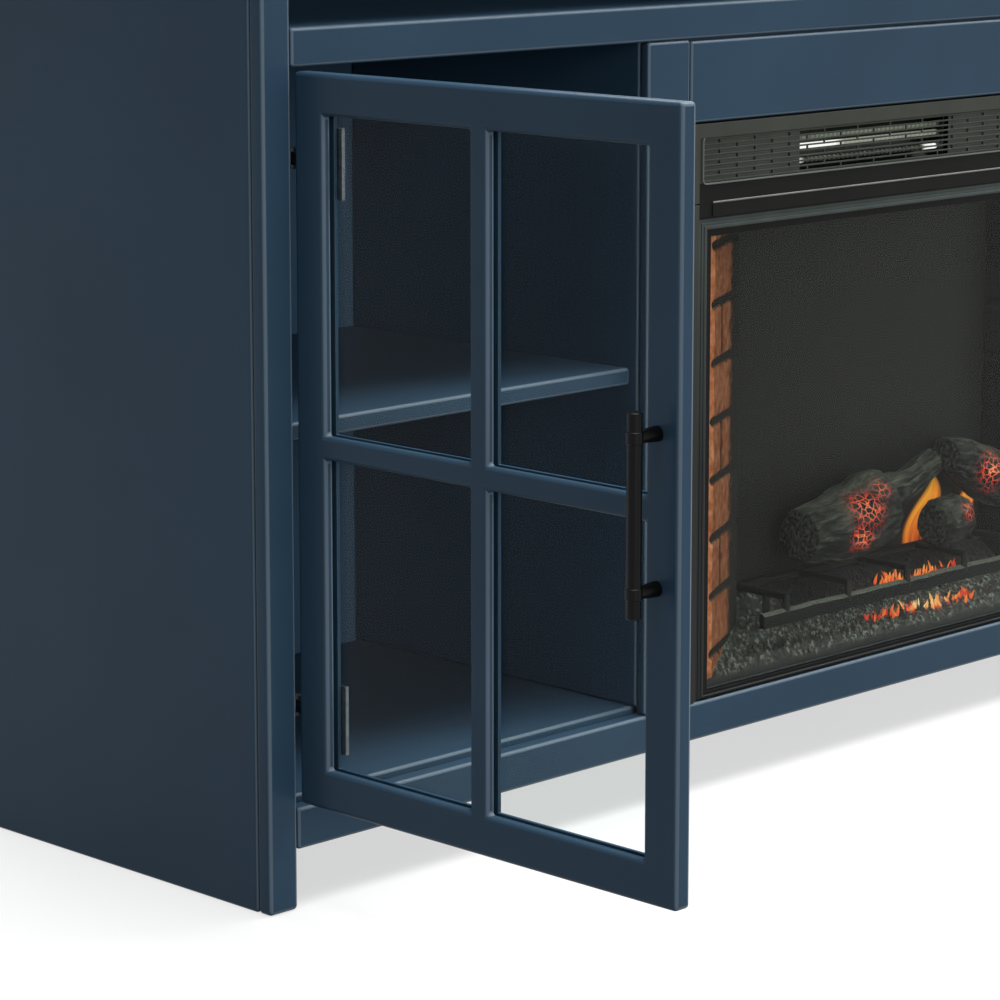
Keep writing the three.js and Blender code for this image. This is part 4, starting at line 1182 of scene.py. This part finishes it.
for hand, side in (("left", -1), ("right", 1)):
    points, bare = brick_liner(side)
    shape = points.reshape(-1, 3), grid_faces(*points.shape[:2])
    liner = piece(f"{hand}_brickwork", shape, brick, replaces=[f"{hand}_brick_liner"], slot="brick",
                  thin=True, smooth=80, bare=bare)
    if side > 0:
        liner.data.flip_normals()
    shell = liner.modifiers.new("panel thickness", "SOLIDIFY")
    shell.thickness = PANEL_THICK * MM
    shell.offset = -1

# %% [markdown]
# ## Screen, case and the works behind it
# The back of the hearth is a matt smoked screen. Behind it, and seen only from the back of the
# stand, are a galvanised steel case, a blower and the spindle that makes the flames flicker.


# %% Finishes behind the hearth
smoked = powder_coat("smoked_acrylic_screen", "#141412", "#191917", 0.6, 2.0)
galvanised = zinc_plated_steel("galvanised_steel", "#7e8285", "#989c9f", 0.38)
works_black = powder_coat("black_enamelled_steel", "#121212", "#191919", 0.4)
dress(smoked, "flame_screen")
dress(galvanised, "insert_case", "blower_wheel")
dress(works_black, "blower_motor", "spindle_motor")
dress(zinc_plated_steel("bright_tinplate", "#b9bbb8", "#d0d2cf", 0.2), "flame_spindle")
for hand in ("left", "right"):
    for height in ("upper", "lower"):
        dress(nickel, *[f"{hand}_{height}_hinge_{part}" for part in ("arm", "cup", "link")])

# %% [markdown]
# The back of the stand is plain work. The sheet of the case is stiffened by a pressed bead and held
# by domed screws, and the back panels are pinned on every ten centimetres or so. Bead, screws and
# pins are turned or carried like everything else, half sunk into what they belong to.

# %% Bead, screws and pins at the back
GLAND_LONG = 14.0
BEAD_INSET = 40.0
BEAD_CORNER = 18.0
BEAD_RADIUS = 2.2
SCREW_INSET, SCREW_PITCH = 12, 150
NAIL_INSET, NAIL_PITCH = 8, 100
NAIL_RADIUS = 1.6


def domed_heads(places, radius, rise):
    """Domed heads that stand out of a wall to the back, all turned alike."""
    profile = [(radius, -0.4), (radius, rise * 0.35), (radius * 0.72, rise * 0.8),
               (radius * 0.3, rise), (0.05, rise)]
    return together(*[turned(profile, place, (0, 1.0, 0), 14) for place in places])


def along_edges(low, high, inset, pitch, y):
    """Places round a rectangle, a little in from its edges and about one pitch apart."""
    (x0, x1), (z0, z1) = (low[0] + inset, high[0] - inset), (low[2] + inset, high[2] - inset)
    xs = np.linspace(x0, x1, max(2, round((x1 - x0) / pitch) + 1))
    zs = np.linspace(z0, z1, max(2, round((z1 - z0) / pitch) + 1))[1:-1]
    return [(x, y, z) for x in xs for z in (z0, z1)] + [(x, y, z) for z in zs for x in (x0, x1)]


low, high = corners("insert_case")
wall_y = high[1] - GLAND_LONG
bead_path, outwards = round_rectangle(low, high, BEAD_INSET, BEAD_CORNER, 0, wall_y, 7)
round_section = np.linspace(0, 2 * math.pi, 12, endpoint=False)
section = BEAD_RADIUS * np.stack([np.cos(round_section), np.sin(round_section)], -1)
bead = carried(section, bead_path, outwards, (0, 1, 0))
screws = domed_heads(along_edges(low, high, SCREW_INSET, SCREW_PITCH, wall_y), 4.0, 2.2)
piece("case_bead_and_screws", together(bead, screws), galvanised, slot="case_steel", smooth=50)
pins = []
for node in BACK_PANELS:
    low, high = corners(node)
    pins += along_edges(low, high, NAIL_INSET, NAIL_PITCH, high[1] - PIN_HEAD_RISE)
heads = domed_heads(pins, NAIL_RADIUS, PIN_HEAD_RISE)
piece("back_panel_pins", heads, galvanised, slot="painted_back", smooth=50)

# %% [markdown]
# ## Grate
# The grate is black enamelled iron: a flat bar lies low across the front of the embers, and round bars run
# back from it and carry the logs. The colour turns patchy grey on whatever looks up, so the upper edge of
# the front bar is a grey line.

# %% Enamelled iron, grey where it looks up
GRATE_RADIUS = 3.5
GRATE_OVERHANG = 33.5
GRATE_BARS = 5
FRONT_BAR_DROP = 17.5
FRONT_BAR_HIGH = 13.5
FRONT_BAR_CHAMFER = 2.4
FRONT_BAR_HALF = 3.0
FRONT_BAR_EDGE = 0.6
LEG_BACK = 24.0
LEG_FEET = {"front": 20, "back": 42}
low, high = corners("fire_grate")
front_y, back_y = low[1] + GRATE_RADIUS, high[1] - GRATE_RADIUS
top_z = high[2] - GRATE_RADIUS
bar_z = top_z - FRONT_BAR_DROP
reach = high[0] - GRATE_OVERHANG


def sagged(a, b, seed, amount=0.8, stops=25):
    """A bar between two points, with the slight waviness of a hammered rod."""
    share = np.linspace(0, 1, stops)[:, None]
    path = np.asarray(a) * (1 - share) + np.asarray(b) * share
    wave = value_noise(path, 14, seed)[:, None] - 0.5
    return path + np.array([0, 0, 1.0]) * wave * amount


def grey_topped_iron():
    """Near-black enamel that turns patchy grey on what looks up, so the bar shows by its upper edge."""
    made, tree, shader = surface("black_enamelled_iron_grey_topped")
    coord = add(tree, "ShaderNodeTexCoord")
    grain = add(tree, "ShaderNodeTexNoise", {"Vector": coord.outputs["Object"]}, Scale=per_metre(2.5),
                Detail=4.0)
    up = add(tree, "ShaderNodeSeparateXYZ", {"Vector": coord.outputs["Normal"]}).outputs["Z"]
    # Faces that look up turn patchy grey.
    looks_up = add(tree, "ShaderNodeMapRange", {"Value": up}, From_Min=0.45, From_Max=0.85)
    patchy = add(tree, "ShaderNodeMath", {0: looks_up, 1: grain}, operation="MULTIPLY")
    colour = ramp(tree, patchy, [(0.04, "#0c0d0c"), (0.16, "#363932"), (0.4, "#686d62")])
    bump(tree, shader, grain, 0.2, 0.4)
    feed(tree, shader, {"Base Color": colour, "Roughness": 0.6, "Specular IOR Level": 0.15})
    return made


# %% Grate bars
half_high = FRONT_BAR_HIGH / 2
flat_section = [
    (FRONT_BAR_HALF, -half_high), (FRONT_BAR_HALF, half_high - FRONT_BAR_EDGE),
    (FRONT_BAR_HALF - FRONT_BAR_EDGE, half_high),
    (FRONT_BAR_CHAMFER - FRONT_BAR_HALF, half_high), (-FRONT_BAR_HALF, half_high - FRONT_BAR_CHAMFER),
    (-FRONT_BAR_HALF, -half_high),
]
front_path = sagged((low[0], front_y, bar_z), (high[0], front_y, bar_z), 11, 1.6, 61)
front_bar = carried(flat_section, front_path, (0, 1, 0), (0, 0, 1), closed=False)
piece("grate_front_bar", front_bar, grey_topped_iron(), slot="grate_iron", smooth=30)
iron = powder_coat("black_enamelled_iron", "#090a09", "#121311", 0.55, 2.5)
shapes = [tube(sagged((-reach, back_y, top_z), (reach, back_y, top_z), 12), GRATE_RADIUS, 16)]
for n, x in enumerate(np.linspace(-reach, reach, GRATE_BARS)):
    shapes.append(tube(sagged((x, front_y, top_z), (x, back_y, top_z), 13 + n, 0.3), GRATE_RADIUS, 16))
    shapes.append(tube([(x, front_y, bar_z), (x, front_y, (bar_z + top_z) / 2), (x, front_y, top_z + 2.8)],
                       [GRATE_RADIUS, GRATE_RADIUS, GRATE_RADIUS - 0.5], 16))
for x in (-reach, reach):
    for y, rise in ((front_y + LEG_BACK, LEG_FEET["front"]), (back_y, LEG_FEET["back"])):
        heights = (low[2] + rise, low[2] + rise + 3, top_z)
        shapes.append(tube([(x, y, height) for height in heights], GRATE_RADIUS, 16))
piece("grate_bars", together(*shapes), iron, replaces=["fire_grate"], slot="grate_iron", smooth=50)


# %% [markdown]
# ## Logs
# The logs are cast resin, modelled on charred wood: long furrows with ashy ridges, and a net of
# cracks through which lamps inside glow red. The furrows are noise stretched along the log, added
# to its radius. The glow belongs to the finish: a net of cell borders, shown only near a few spots.


# %% Charred wood with glowing cracks
CRACK_NET = 6.0
CRACK_WARP = 0.006


def charred_wood(name, hot_spots):
    """Black furrows, dark grey ridges, pale ash on top, and red to yellow cracks near the hot spots,
    which are centres in millimetres with the radius within which the cracks glow."""
    made, tree, shader = surface(name)
    place = add(tree, "ShaderNodeTexCoord").outputs["Object"]
    stretch = add(tree, "ShaderNodeMapping", {"Vector": place}, Scale=(0.25, 1, 1))
    fibre = add(tree, "ShaderNodeTexNoise", {"Vector": stretch}, Scale=per_metre(3.2),
                Detail=8.0, Roughness=0.65)
    ash = add(tree, "ShaderNodeTexNoise", {"Vector": place}, Scale=per_metre(30), Detail=4.0)
    furrow = add(tree, "ShaderNodeAttribute", attribute_name="ridge")
    lift = add(tree, "ShaderNodeMath", {0: fibre, 1: furrow.outputs["Fac"]}, operation="MULTIPLY")
    colour = ramp(tree, lift, [(0.15, "#0a0a09"), (0.3, "#1a1917"), (0.42, "#33332f"), (0.55, "#5a5c55")])
    normal = add(tree, "ShaderNodeTexCoord").outputs["Normal"]
    up = add(tree, "ShaderNodeSeparateXYZ", {"Vector": normal}).outputs["Z"]
    looks_up = add(tree, "ShaderNodeMapRange", {"Value": up}, From_Min=0.2, From_Max=0.75)
    patchy = add(tree, "ShaderNodeMapRange", {"Value": ash}, From_Min=0.3, From_Max=0.6)
    ashen = add(tree, "ShaderNodeMath", {0: looks_up, 1: patchy}, operation="MULTIPLY")
    retoned = add(tree, "ShaderNodeMix", {"Factor": ashen}, data_type="RGBA")
    ash_tone = ramp(tree, lift, [(0.2, "#2c2e28"), (0.5, "#666a5e")])
    feed(tree, retoned, {6: colour, 7: ash_tone})
    bump(tree, shader, fibre, 1.2, 0.8)
    near = 0.0
    for centre, radius in hot_spots:
        at = [v * MM for v in centre]
        gap = add(tree, "ShaderNodeVectorMath", {0: place, 1: at}, operation="DISTANCE")
        here = add(tree, "ShaderNodeMapRange", {"Value": gap.outputs["Value"]}, From_Min=radius * MM,
                   From_Max=radius * MM * 0.1, interpolation_type="SMOOTHSTEP")
        near = add(tree, "ShaderNodeMath", {0: near, 1: here}, operation="MAXIMUM")
    warp = add(tree, "ShaderNodeTexNoise", {"Vector": place}, Scale=per_metre(12), Detail=2.0)
    shifted = {0: warp.outputs["Color"], 1: [CRACK_WARP] * 3, 2: place}
    bent = add(tree, "ShaderNodeVectorMath", shifted, operation="MULTIPLY_ADD")
    net = add(tree, "ShaderNodeTexVoronoi", {"Vector": bent}, feature="DISTANCE_TO_EDGE",
              Scale=per_metre(CRACK_NET))
    crack = add(tree, "ShaderNodeMapRange", {"Value": net.outputs["Distance"]}, From_Min=0.14, From_Max=0.0)
    glow = add(tree, "ShaderNodeMath", {0: crack, 1: near}, operation="MULTIPLY")
    heat = ramp(tree, glow, [(0.0, "#000000"), (0.12, "#260705"), (0.34, "#741a14"),
                             (0.54, "#cc3420"), (0.74, "#ff6a32"), (1.0, "#ffc890")])
    feed(tree, shader, {"Base Color": retoned.outputs[2], "Roughness": 0.85, "Specular IOR Level": 0.2,
                        "Emission Color": heat, "Emission Strength": 1.0})
    return made


# %% The shape of a log
SMOOTHING = 8


def fire_log(spine, seed, sides=72, stops=150):
    """A log along a spine whose rows hold a place and a radius, and how ridged each point is: rings
    at each stop, with long furrows from stretched noise added to the radius, and both ends closed by
    shrinking rings."""
    spine = np.asarray(spine, float)
    share = np.linspace(0, 1, len(spine))
    at = np.linspace(0, 1, stops)
    row = np.stack([np.interp(at, share, spine[:, n]) for n in range(4)], -1)
    kernel = np.hanning(2 * SMOOTHING + 1)
    kernel /= kernel.sum()
    padded = np.pad(row, ((SMOOTHING, SMOOTHING), (0, 0)), mode="reflect", reflect_type="odd")
    row = np.stack([np.convolve(padded[:, n], kernel, mode="valid") for n in range(4)], -1)
    turn = np.linspace(0, 2 * math.pi, sides, endpoint=False)
    ring = np.stack([0 * turn, np.cos(turn), np.sin(turn)], -1)
    grain = ring[None] * 34 + row[:, None, :3] * np.array([0.22, 0, 0]) + seed * 10
    furrow = 0.6 * value_noise(grain, 5.5, seed) + 0.4 * value_noise(grain, 2.8, seed + 1)
    lumps = value_noise(ring[None] * 20 + row[:, None, :3] * np.array([1.0, 0, 0]), 24, seed + 2)
    radius = row[:, None, 3] * (0.86 + 0.2 * lumps) - 5.0 * (1 - furrow) + 1.5
    body = row[:, None, :3] + radius[..., None] * ring[None]
    caps = []
    for end, out in ((0, -1), (-1, 1)):
        for shrink, bulge in ((0.9, 1.2), (0.6, 1.0), (0.3, 1.8), (0.02, 1.0)):
            rough = 2.2 * (value_noise(ring * 12 * shrink, 4, seed + 3) - 0.5)
            cap = row[end, :3] + radius[end][:, None] * ring * shrink
            cap[:, 0] += out * (bulge + rough)
            caps.append(cap)
    grid = np.concatenate([np.stack(caps[:4][::-1]), body, np.stack(caps[4:])])
    grid[..., 1] = np.minimum(grid[..., 1], corners("flame_screen")[0][1] - 0.8)
    ridge = np.concatenate([np.full((4, sides), 0.9), 0.35 + 0.75 * furrow, np.full((4, sides), 0.8)])
    faces = grid_faces(*grid.shape[:2], round_columns=True) + end_faces(len(grid), sides)
    return (grid.reshape(-1, 3), faces), ridge


# %% [markdown]
# Each row of a log's spine is written in shares, so that the logs stay on the grate: the place along
# in pitches of its bars, the depth in its own depth, the height over the bars and the radius in that
# of a thick log.

# %% Lay the logs on the grate
GRATE_PITCH = 87.5
GRATE_DEEP = 60.0
LOG_RADIUS = 34.0
LOGS = {
    "left_log": ([(-1.4, 0.57, 0.42, 0.74), (-1.26, 0.57, 0.36, 0.82), (-0.6, 0.6, 0.1, 1.12),
                  (-0.2, 0.62, 0.3, 1.14), (-0.08, 0.63, 0.42, 1.08), (0.02, 0.66, 1.1, 0.62),
                  (0.42, 0.7, 1.33, 0.5), (0.95, 0.72, 1.94, 0.42)], 21),
    "front_log": ([(0.8, 0.467, 0, 0.64), (0.87, 0.467, 0, 0.72), (1.3, 0.56, 0, 0.74),
                   (1.41, 0.6, 0, 0.62)], 31),
    "right_log": ([(1.2, 0.7, 1.95, 0.55), (1.5, 0.68, 1.35, 0.82), (1.74, 0.65, 0.95, 0.9),
                   (1.95, 0.63, 0.75, 0.9), (2.06, 0.62, 0.7, 0.82)], 41),
}
HOT = {
    "left_log": [((-56, 26, 222), 38), ((-68, 24, 192), 24), ((-30, 30, 238), 25)],
    "front_log": [((104, 30, 195), 20)],
    "right_log": [((144, 36, 228), 30), ((138, 36, 200), 22)],
}
grate_low, grate_high = corners("fire_grate")
for name, (shares, seed) in LOGS.items():
    along, deep, lift, thick = np.array(shares).T
    radius = thick * LOG_RADIUS
    height = grate_high[2] + SEAM + radius + lift * LOG_RADIUS
    spine = np.stack([along * GRATE_PITCH, grate_low[1] + deep * GRATE_DEEP, height, radius], -1)
    shape, ridge = fire_log(spine, seed)
    piece(f"{name}_charred", shape, charred_wood(f"charred_wood_{name}", HOT[name]), replaces=[name],
          slot="charred_log", smooth=60, ridge=ridge)

# %% [markdown]
# ## Ember bed
# The bed is crushed glass and cinders over a moulded tray that lamps light from below. It is a height over
# the floor's plan: a slope, lumps of 22 and 9 mm that rise by 5 and 3 mm, and chunks a few millimetres
# wide, each with a height and a tone of its own. Along two rows, before and behind the front bar, the
# chunks glow, and behind that, except at the far left, the bed is darkened with painted shade.


# %% Cinders
def cinders():
    """Black to pale grey chunks, each with a tone of its own and fine specks, which glow from red to
    yellow where the bed is hot."""
    made, tree, shader = surface("crushed_cinders")
    place = add(tree, "ShaderNodeTexCoord").outputs["Object"]
    chunk = add(tree, "ShaderNodeAttribute", attribute_name="chunk")
    speck = add(tree, "ShaderNodeTexNoise", {"Vector": place}, Scale=per_metre(3.2),
                Detail=6.0, Roughness=0.7)
    tone = add(tree, "ShaderNodeMath", {0: chunk.outputs["Fac"], 1: speck}, operation="MULTIPLY")
    colour = ramp(tree, tone, [(0.2, "#0b0c0b"), (0.36, "#181a16"), (0.5, "#2e322b"),
                               (0.6, "#4c5248"), (0.74, "#8e9688")])
    heat = add(tree, "ShaderNodeAttribute", attribute_name="hotness")
    glow = ramp(tree, heat.outputs["Fac"], [(0.0, "#000000"), (0.3, "#3c0904"), (0.6, "#c8321a"),
                                            (0.8, "#ff7a2a"), (1.0, "#ffd078")])
    bump(tree, shader, speck, 1.0, 0.7)
    feed(tree, shader, {"Base Color": colour, "Roughness": 0.45, "Emission Color": glow,
                        "Emission Strength": 1.0})
    return made


# %% Lay out the bed
BED_FRONT_RISE = 9.0
BED_BACK_RISE = 56.0
BED_COLUMNS = 560
CHUNK_MM = 2.8
CHUNK_TALL = 3.6
LUMPS = {22: 5, 9: 3}
HOT_ROWS = (14.0, 43.0)
HOT_MIDDLE, HOT_SPREAD, HOT_ROW_DEEP = 46, 60, 5
SHADE_DEEP, SHADE_ALONG = (26, 38), (-150, -120)
low, high = corners("ember_bed")
bed_front, bed_deep = low[1], high[1] - low[1]


def bed_slope(y):
    """The height of the smooth slope under the chunks, over the foot of the bed."""
    return BED_FRONT_RISE + (BED_BACK_RISE - BED_FRONT_RISE) * (y - bed_front) / bed_deep


narrow = corners("right_brick_liner")[0][0] - 0.9
ys = np.arange(low[1], high[1], 1.0)
half = np.interp(ys, [low[1], high[1] - SLANT_ENDS, high[1]], [high[0] - TUCK, narrow, narrow])
bed_x = np.linspace(-1, 1, BED_COLUMNS)[:, None] * half[None]
bed_y = ys[None] + 0 * bed_x
flat = np.stack([bed_x, bed_y, 0 * bed_x], -1)
gap, border, number = nearest_chunk(bed_x, bed_y, CHUNK_MM, 51)
lumps = sum(value_noise(flat, size, 52 + n) * tall for n, (size, tall) in enumerate(LUMPS.items()))
chunks = number * CHUNK_TALL * (1 - gap) - 0.9 * (border < 0.12)
bed_z = np.clip(low[2] + bed_slope(bed_y) - 5 + lumps + chunks, low[2] + 0.5, high[2])
hot_rows = sum(np.exp(-((bed_y - bed_front - row) / HOT_ROW_DEEP) ** 2) for row in HOT_ROWS)
hot_rows = hot_rows * np.exp(-((bed_x - HOT_MIDDLE) / HOT_SPREAD) ** 2)
# Painted shade: behind the bar, except at the far left, the chunks are darkened.
painted_shade = smooth_step(bed_y - bed_front, *SHADE_DEEP) * smooth_step(bed_x, *SHADE_ALONG)
heat = np.clip(hot_rows * smooth_step(value_noise(flat, 5, 54), 0.5, 0.8), 0, 1)
top = np.stack([bed_x, bed_y, bed_z], -1)
points = top.reshape(-1, 3)

# %% [markdown]
# The surface gets a skirt down to the foot of the bed: its rim is followed once round, and each of
# its points is joined to one straight below.

# %% Close the bed and make it
skirt_rows, skirt_columns = top.shape[:2]
index = np.arange(len(points)).reshape(skirt_rows, skirt_columns)
edge = np.concatenate([index[0], index[1:, -1], index[-1, -2::-1], index[-2:0:-1, 0]])
base = points[edge].copy()
base[:, 2] = low[2]
count = len(points)
ring = np.arange(len(edge))
after = (ring + 1) % len(edge)
skirt = np.stack([edge, edge[after], count + after, count + ring], -1).tolist()
faces = grid_faces(skirt_rows, skirt_columns) + skirt + [(count + ring).tolist()]
chunk_value = np.concatenate([((0.35 + number * 1.1) * (1 - 0.7 * painted_shade)).ravel(), np.zeros(len(edge))])
heat_value = np.concatenate([heat.ravel(), np.zeros(len(edge))])
piece("cinder_bed", (np.concatenate([points, base]), faces), cinders(), replaces=["ember_bed"],
      slot="embers", smooth=35, chunk=chunk_value, hotness=heat_value)

# %% [markdown]
# Loose shards of glowing resin stand up from the bed on both sides of the front bar. One shard is a
# small closed spindle of a few rings; all of them are made at once by scaling, leaning and placing
# that one with whole arrays.


# %% Glowing shards
def glowing_resin(name, strength):
    """Clear resin lit from within: its colour follows the shard's own height."""
    made, tree, shader = surface(name)
    heat = add(tree, "ShaderNodeAttribute", attribute_name="hotness")
    glow = ramp(tree, heat.outputs["Fac"], [(0.0, "#7a1608"), (0.25, "#e2401c"), (0.5, "#ff8430"),
                                            (0.75, "#ffc06a"), (1.0, "#fff0b8")])
    feed(tree, shader, {"Base Color": paint_colour("#30100a"), "Roughness": 0.4, "Emission Color": glow,
                        "Emission Strength": strength})
    return made


def shards(places, tall, wide, lean, sides=6, rings=7):
    """Closed spindles, and how high up its shard each point is. For the share v of the height, the
    half-width is the sine of pi v to a power, and the axis bends sideways with v squared."""
    v = np.linspace(0, 1, rings)[None, :, None]
    turn = np.linspace(0, 2 * math.pi, sides, endpoint=False)[None, None]
    tall, wide = tall[:, None, None], wide[:, None, None]
    girth = wide * np.sin(math.pi * np.clip(v, 0.03, 0.97)) ** 0.8 * (1 - 0.45 * v)
    x = places[:, 0, None, None] + girth * np.cos(turn) + lean[:, 0, None, None] * v**2 * tall
    y = places[:, 1, None, None] + girth * np.sin(turn) + lean[:, 1, None, None] * v**2 * tall
    z = places[:, 2, None, None] + tall * v + 0 * turn
    points = np.stack([x, y, z], -1).reshape(-1, 3)
    one = np.array(grid_faces(rings, sides, round_columns=True))
    count = len(places)
    starts = np.arange(count)[:, None, None] * rings * sides
    faces = (one[None] + starts).reshape(-1, 4).tolist()
    bottom = np.arange(sides)[::-1]
    top_ring = (rings - 1) * sides + np.arange(sides)
    for ends in (bottom, top_ring):
        faces += (ends[None] + starts[:, 0]).tolist()
    return (points, faces), np.broadcast_to(v, (count, rings, sides))


# %% [markdown]
# The shards stand in two rows. Each row has its distance from the front of the bed, the number of
# its shards, where it begins and ends, where it is hottest and how hot it is there. The rear shards
# are taller, because they lean on the logs.

# %% Strew the shards
draw = np.random.default_rng(61)
ROWS = {"front": (HOT_ROWS[0], 66, -48, 112, 42, 0.62), "rear": (HOT_ROWS[1], 44, 4, 124, 62, 0.3)}
REAR_FROM = 30
REAR_TALLER = 1.5
shard_x, shard_y, hottest = [], [], []
for from_front, count, first, last, core, level in ROWS.values():
    shard_x.append(draw.uniform(first, last, count))
    hottest.append(level * np.exp(-((shard_x[-1] - core) / 42) ** 2))
    shard_y.append(bed_front + from_front + draw.normal(0, 2.2, count))
shard_x, shard_y = np.concatenate(shard_x), np.concatenate(shard_y)
places = np.stack([shard_x, shard_y, low[2] + bed_slope(shard_y) - 3], -1)
taller = np.where(shard_y > bed_front + REAR_FROM, REAR_TALLER, 1.0)
tall = draw.uniform(4.5, 11.5, len(places)) * taller
wide = draw.uniform(0.9, 2.1, len(places))
lean = draw.normal(0, 0.22, (len(places), 2))
shape, v_share = shards(places, tall, wide, lean)
own = (draw.uniform(0.05, 0.42, len(places)) + np.concatenate(hottest))[:, None, None]
heat = np.clip(own * (0.75 + 0.45 * v_share), 0, 1)
piece("glowing_shards", shape, glowing_resin("glowing_resin", 1.0), slot="embers", smooth=60, hotness=heat)

# %% [markdown]
# ## Flames
# The flames of such a fireplace are light thrown on the screen. A thin rippled sheet just in front
# of the screen stands for them: its colour runs from deep orange at the foot to yellow at the tip,
# and it fades out at its edges, where it mixes with Transparent.


# %% Flame sheets
def flame_light():
    """Pure light from deep orange to yellow by its height, clear where it fades."""
    made, tree, shader = surface("projected_flame_light")
    tree.nodes.remove(shader)
    heat = add(tree, "ShaderNodeAttribute", attribute_name="hotness")
    fade = add(tree, "ShaderNodeAttribute", attribute_name="fade")
    colour = ramp(tree, heat.outputs["Fac"], [(0.0, "#8e3412"), (0.3, "#d4641e"), (0.6, "#f8992c"),
                                              (0.9, "#ffc23c")])
    glow = add(tree, "ShaderNodeEmission", {"Color": colour}, Strength=1.0)
    clear = add(tree, "ShaderNodeBsdfTransparent")
    mixed(tree, clear, glow, fade.outputs["Fac"])
    return made


def flame(foot, tall, wide, sway, seed, columns=17, rows=49):
    """A tongue of flame, how hot and how opaque it is. Across u and up v, its half-width swells and
    then tapers to a tip, and its middle sways with v."""
    u, v = np.meshgrid(np.linspace(-1, 1, columns), np.linspace(0, 1, rows), indexing="ij")
    half = wide / 2 * (0.75 + 0.5 * np.sin(math.pi * v * 0.9)) * (1 - v**3)
    middle = sway * np.sin(v * 2.4) * v
    x = foot[0] + middle + u * half
    y = foot[1] + 1.2 * np.sin(u * 2 + v * 7 + seed)
    z = foot[2] + tall * v
    points = np.stack([x, y, z], -1)
    streak = value_noise(np.stack([u * wide, v * tall * 0.12, 0 * u], -1), 4, seed)
    fade = np.clip((1 - abs(u) ** 3) * (1 - v**4) * 1.3, 0, 1)
    heat = np.clip(0.1 + 0.75 * v + 0.7 * (streak - 0.45), 0, 1)
    return (points.reshape(-1, 3), grid_faces(columns, rows)), heat.ravel(), fade.ravel()


screen_y = corners("flame_screen")[0][1]
BEFORE_SCREEN = 2.2
FLAMES = [((88, 150), 72, 40, 44), ((168, 168), 40, 26, 10)]
tongues = [
    flame((x, screen_y - BEFORE_SCREEN - SEAM * n, z), tall, wide, sway, n)
    for n, ((x, z), tall, wide, sway) in enumerate(FLAMES)
]
shapes, heats, fades = zip(*tongues)
piece("flame_sheets", together(*shapes), flame_light(), slot="embers", thin=True, smooth=90,
      hotness=np.concatenate(heats), fade=np.concatenate(fades))

# %% [markdown]
# ## Floor, sky and lamps
# The floor is plain and pale. The camera, reflections and glass see it nearly white, with the soft
# shadow of the stand on it, while the light that it throws back at the stand stays modest. Four wide
# lamps, overhead, at the right, in front and behind, and an even sky light give the blue about the
# value that it is written with.


# %% Which rays show the scene
def shows(tree):
    """1 for rays that end up in the picture: from the camera, through glass and off glossy faces."""
    path = add(tree, "ShaderNodeLightPath")
    share = 0.0
    for kind in ("Is Camera Ray", "Is Transmission Ray", "Is Glossy Ray"):
        share = add(tree, "ShaderNodeMath", {0: share, 1: path.outputs[kind]}, operation="MAXIMUM")
    return share


# %% Pale floor
MATT_SHARE = 0.37


def pale_floor():
    """Seen directly, it is white light with a share of matt grey, in which the shadow shows. To the
    light that it throws back, it is a dim matt grey."""
    made, tree, shader = surface("pale_studio_floor")
    tree.nodes.remove(shader)
    matt = add(tree, "ShaderNodeBsdfDiffuse", Color=paint_colour("#dadada"))
    dim = add(tree, "ShaderNodeBsdfDiffuse", Color=paint_colour("#5c5c5c"))
    glow = add(tree, "ShaderNodeEmission", Color=paint_colour("#ffffff"), Strength=1.0)
    seen = add(tree, "ShaderNodeMixShader", {"Fac": MATT_SHARE, 1: glow, 2: matt})
    mixed(tree, dim, seen, shows(tree))
    return made


FLOOR_HALF_M = 14.0
floor_mesh = bpy.data.meshes.new("floor")
floor_corners = [(x, y, 0) for x, y in ((-1, -1), (1, -1), (1, 1), (-1, 1))]
floor_mesh.from_pydata((np.array(floor_corners) * FLOOR_HALF_M).tolist(), [], [[0, 1, 2, 3]])
floor_mesh.materials.append(pale_floor())
floor = bpy.data.objects.new("floor", floor_mesh)
bpy.context.scene.collection.objects.link(floor)
floor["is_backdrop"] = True

# %% Sky light
SKY_LEVEL = 0.17
world = bpy.data.worlds.new("studio")
world.use_nodes = True
bpy.context.scene.world = world
sky = world.node_tree
sky.nodes.clear()
level = add(sky, "ShaderNodeMapRange", {"Value": shows(sky)}, To_Min=SKY_LEVEL, To_Max=1.0)
light = add(sky, "ShaderNodeBackground", {"Strength": level}, Color=paint_colour("#ffffff"))
add(sky, "ShaderNodeOutputWorld", {"Surface": light})


# %% Studio lamps
def soft_sun(name, towards, strength, spread_deg):
    """A distant lamp: towards points from the stand to the lamp, and the spread softens shadows."""
    data = bpy.data.lights.new(name, "SUN")
    data.energy = strength
    data.angle = math.radians(spread_deg)
    lamp = bpy.data.objects.new(name, data)
    direction = np.array(towards, float)
    direction /= np.linalg.norm(direction)
    x, y, z = direction
    lamp.rotation_euler = (math.acos(z), 0, math.atan2(x, -y))
    bpy.context.scene.collection.objects.link(lamp)


LAMPS = {
    "overhead_softbox": ((0.15, -0.15, 2.3), 4.6, 44),
    "right_softbox": ((0.7, -0.16, 0.7), 2.4, 30),
    "front_softbox": ((-0.27, -1, 0.17), 1.68, 34),
    "back_softbox": ((0.75, 1, 0.5), 1.6, 44),
}
for name, (towards, strength, spread_deg) in LAMPS.items():
    soft_sun(name, towards, strength, spread_deg)

# %% [markdown]
# The colours of the picture are those written above, with no film look over them.

# %% Colour management
bpy.context.scene.view_settings.view_transform = "Standard"

# %% [markdown]
# ## The box of the model
# The box round every piece that shows, the floor left out, is worked out last. The finished model
# must stay within the solid model's box.

# %% Work out the box
low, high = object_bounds()
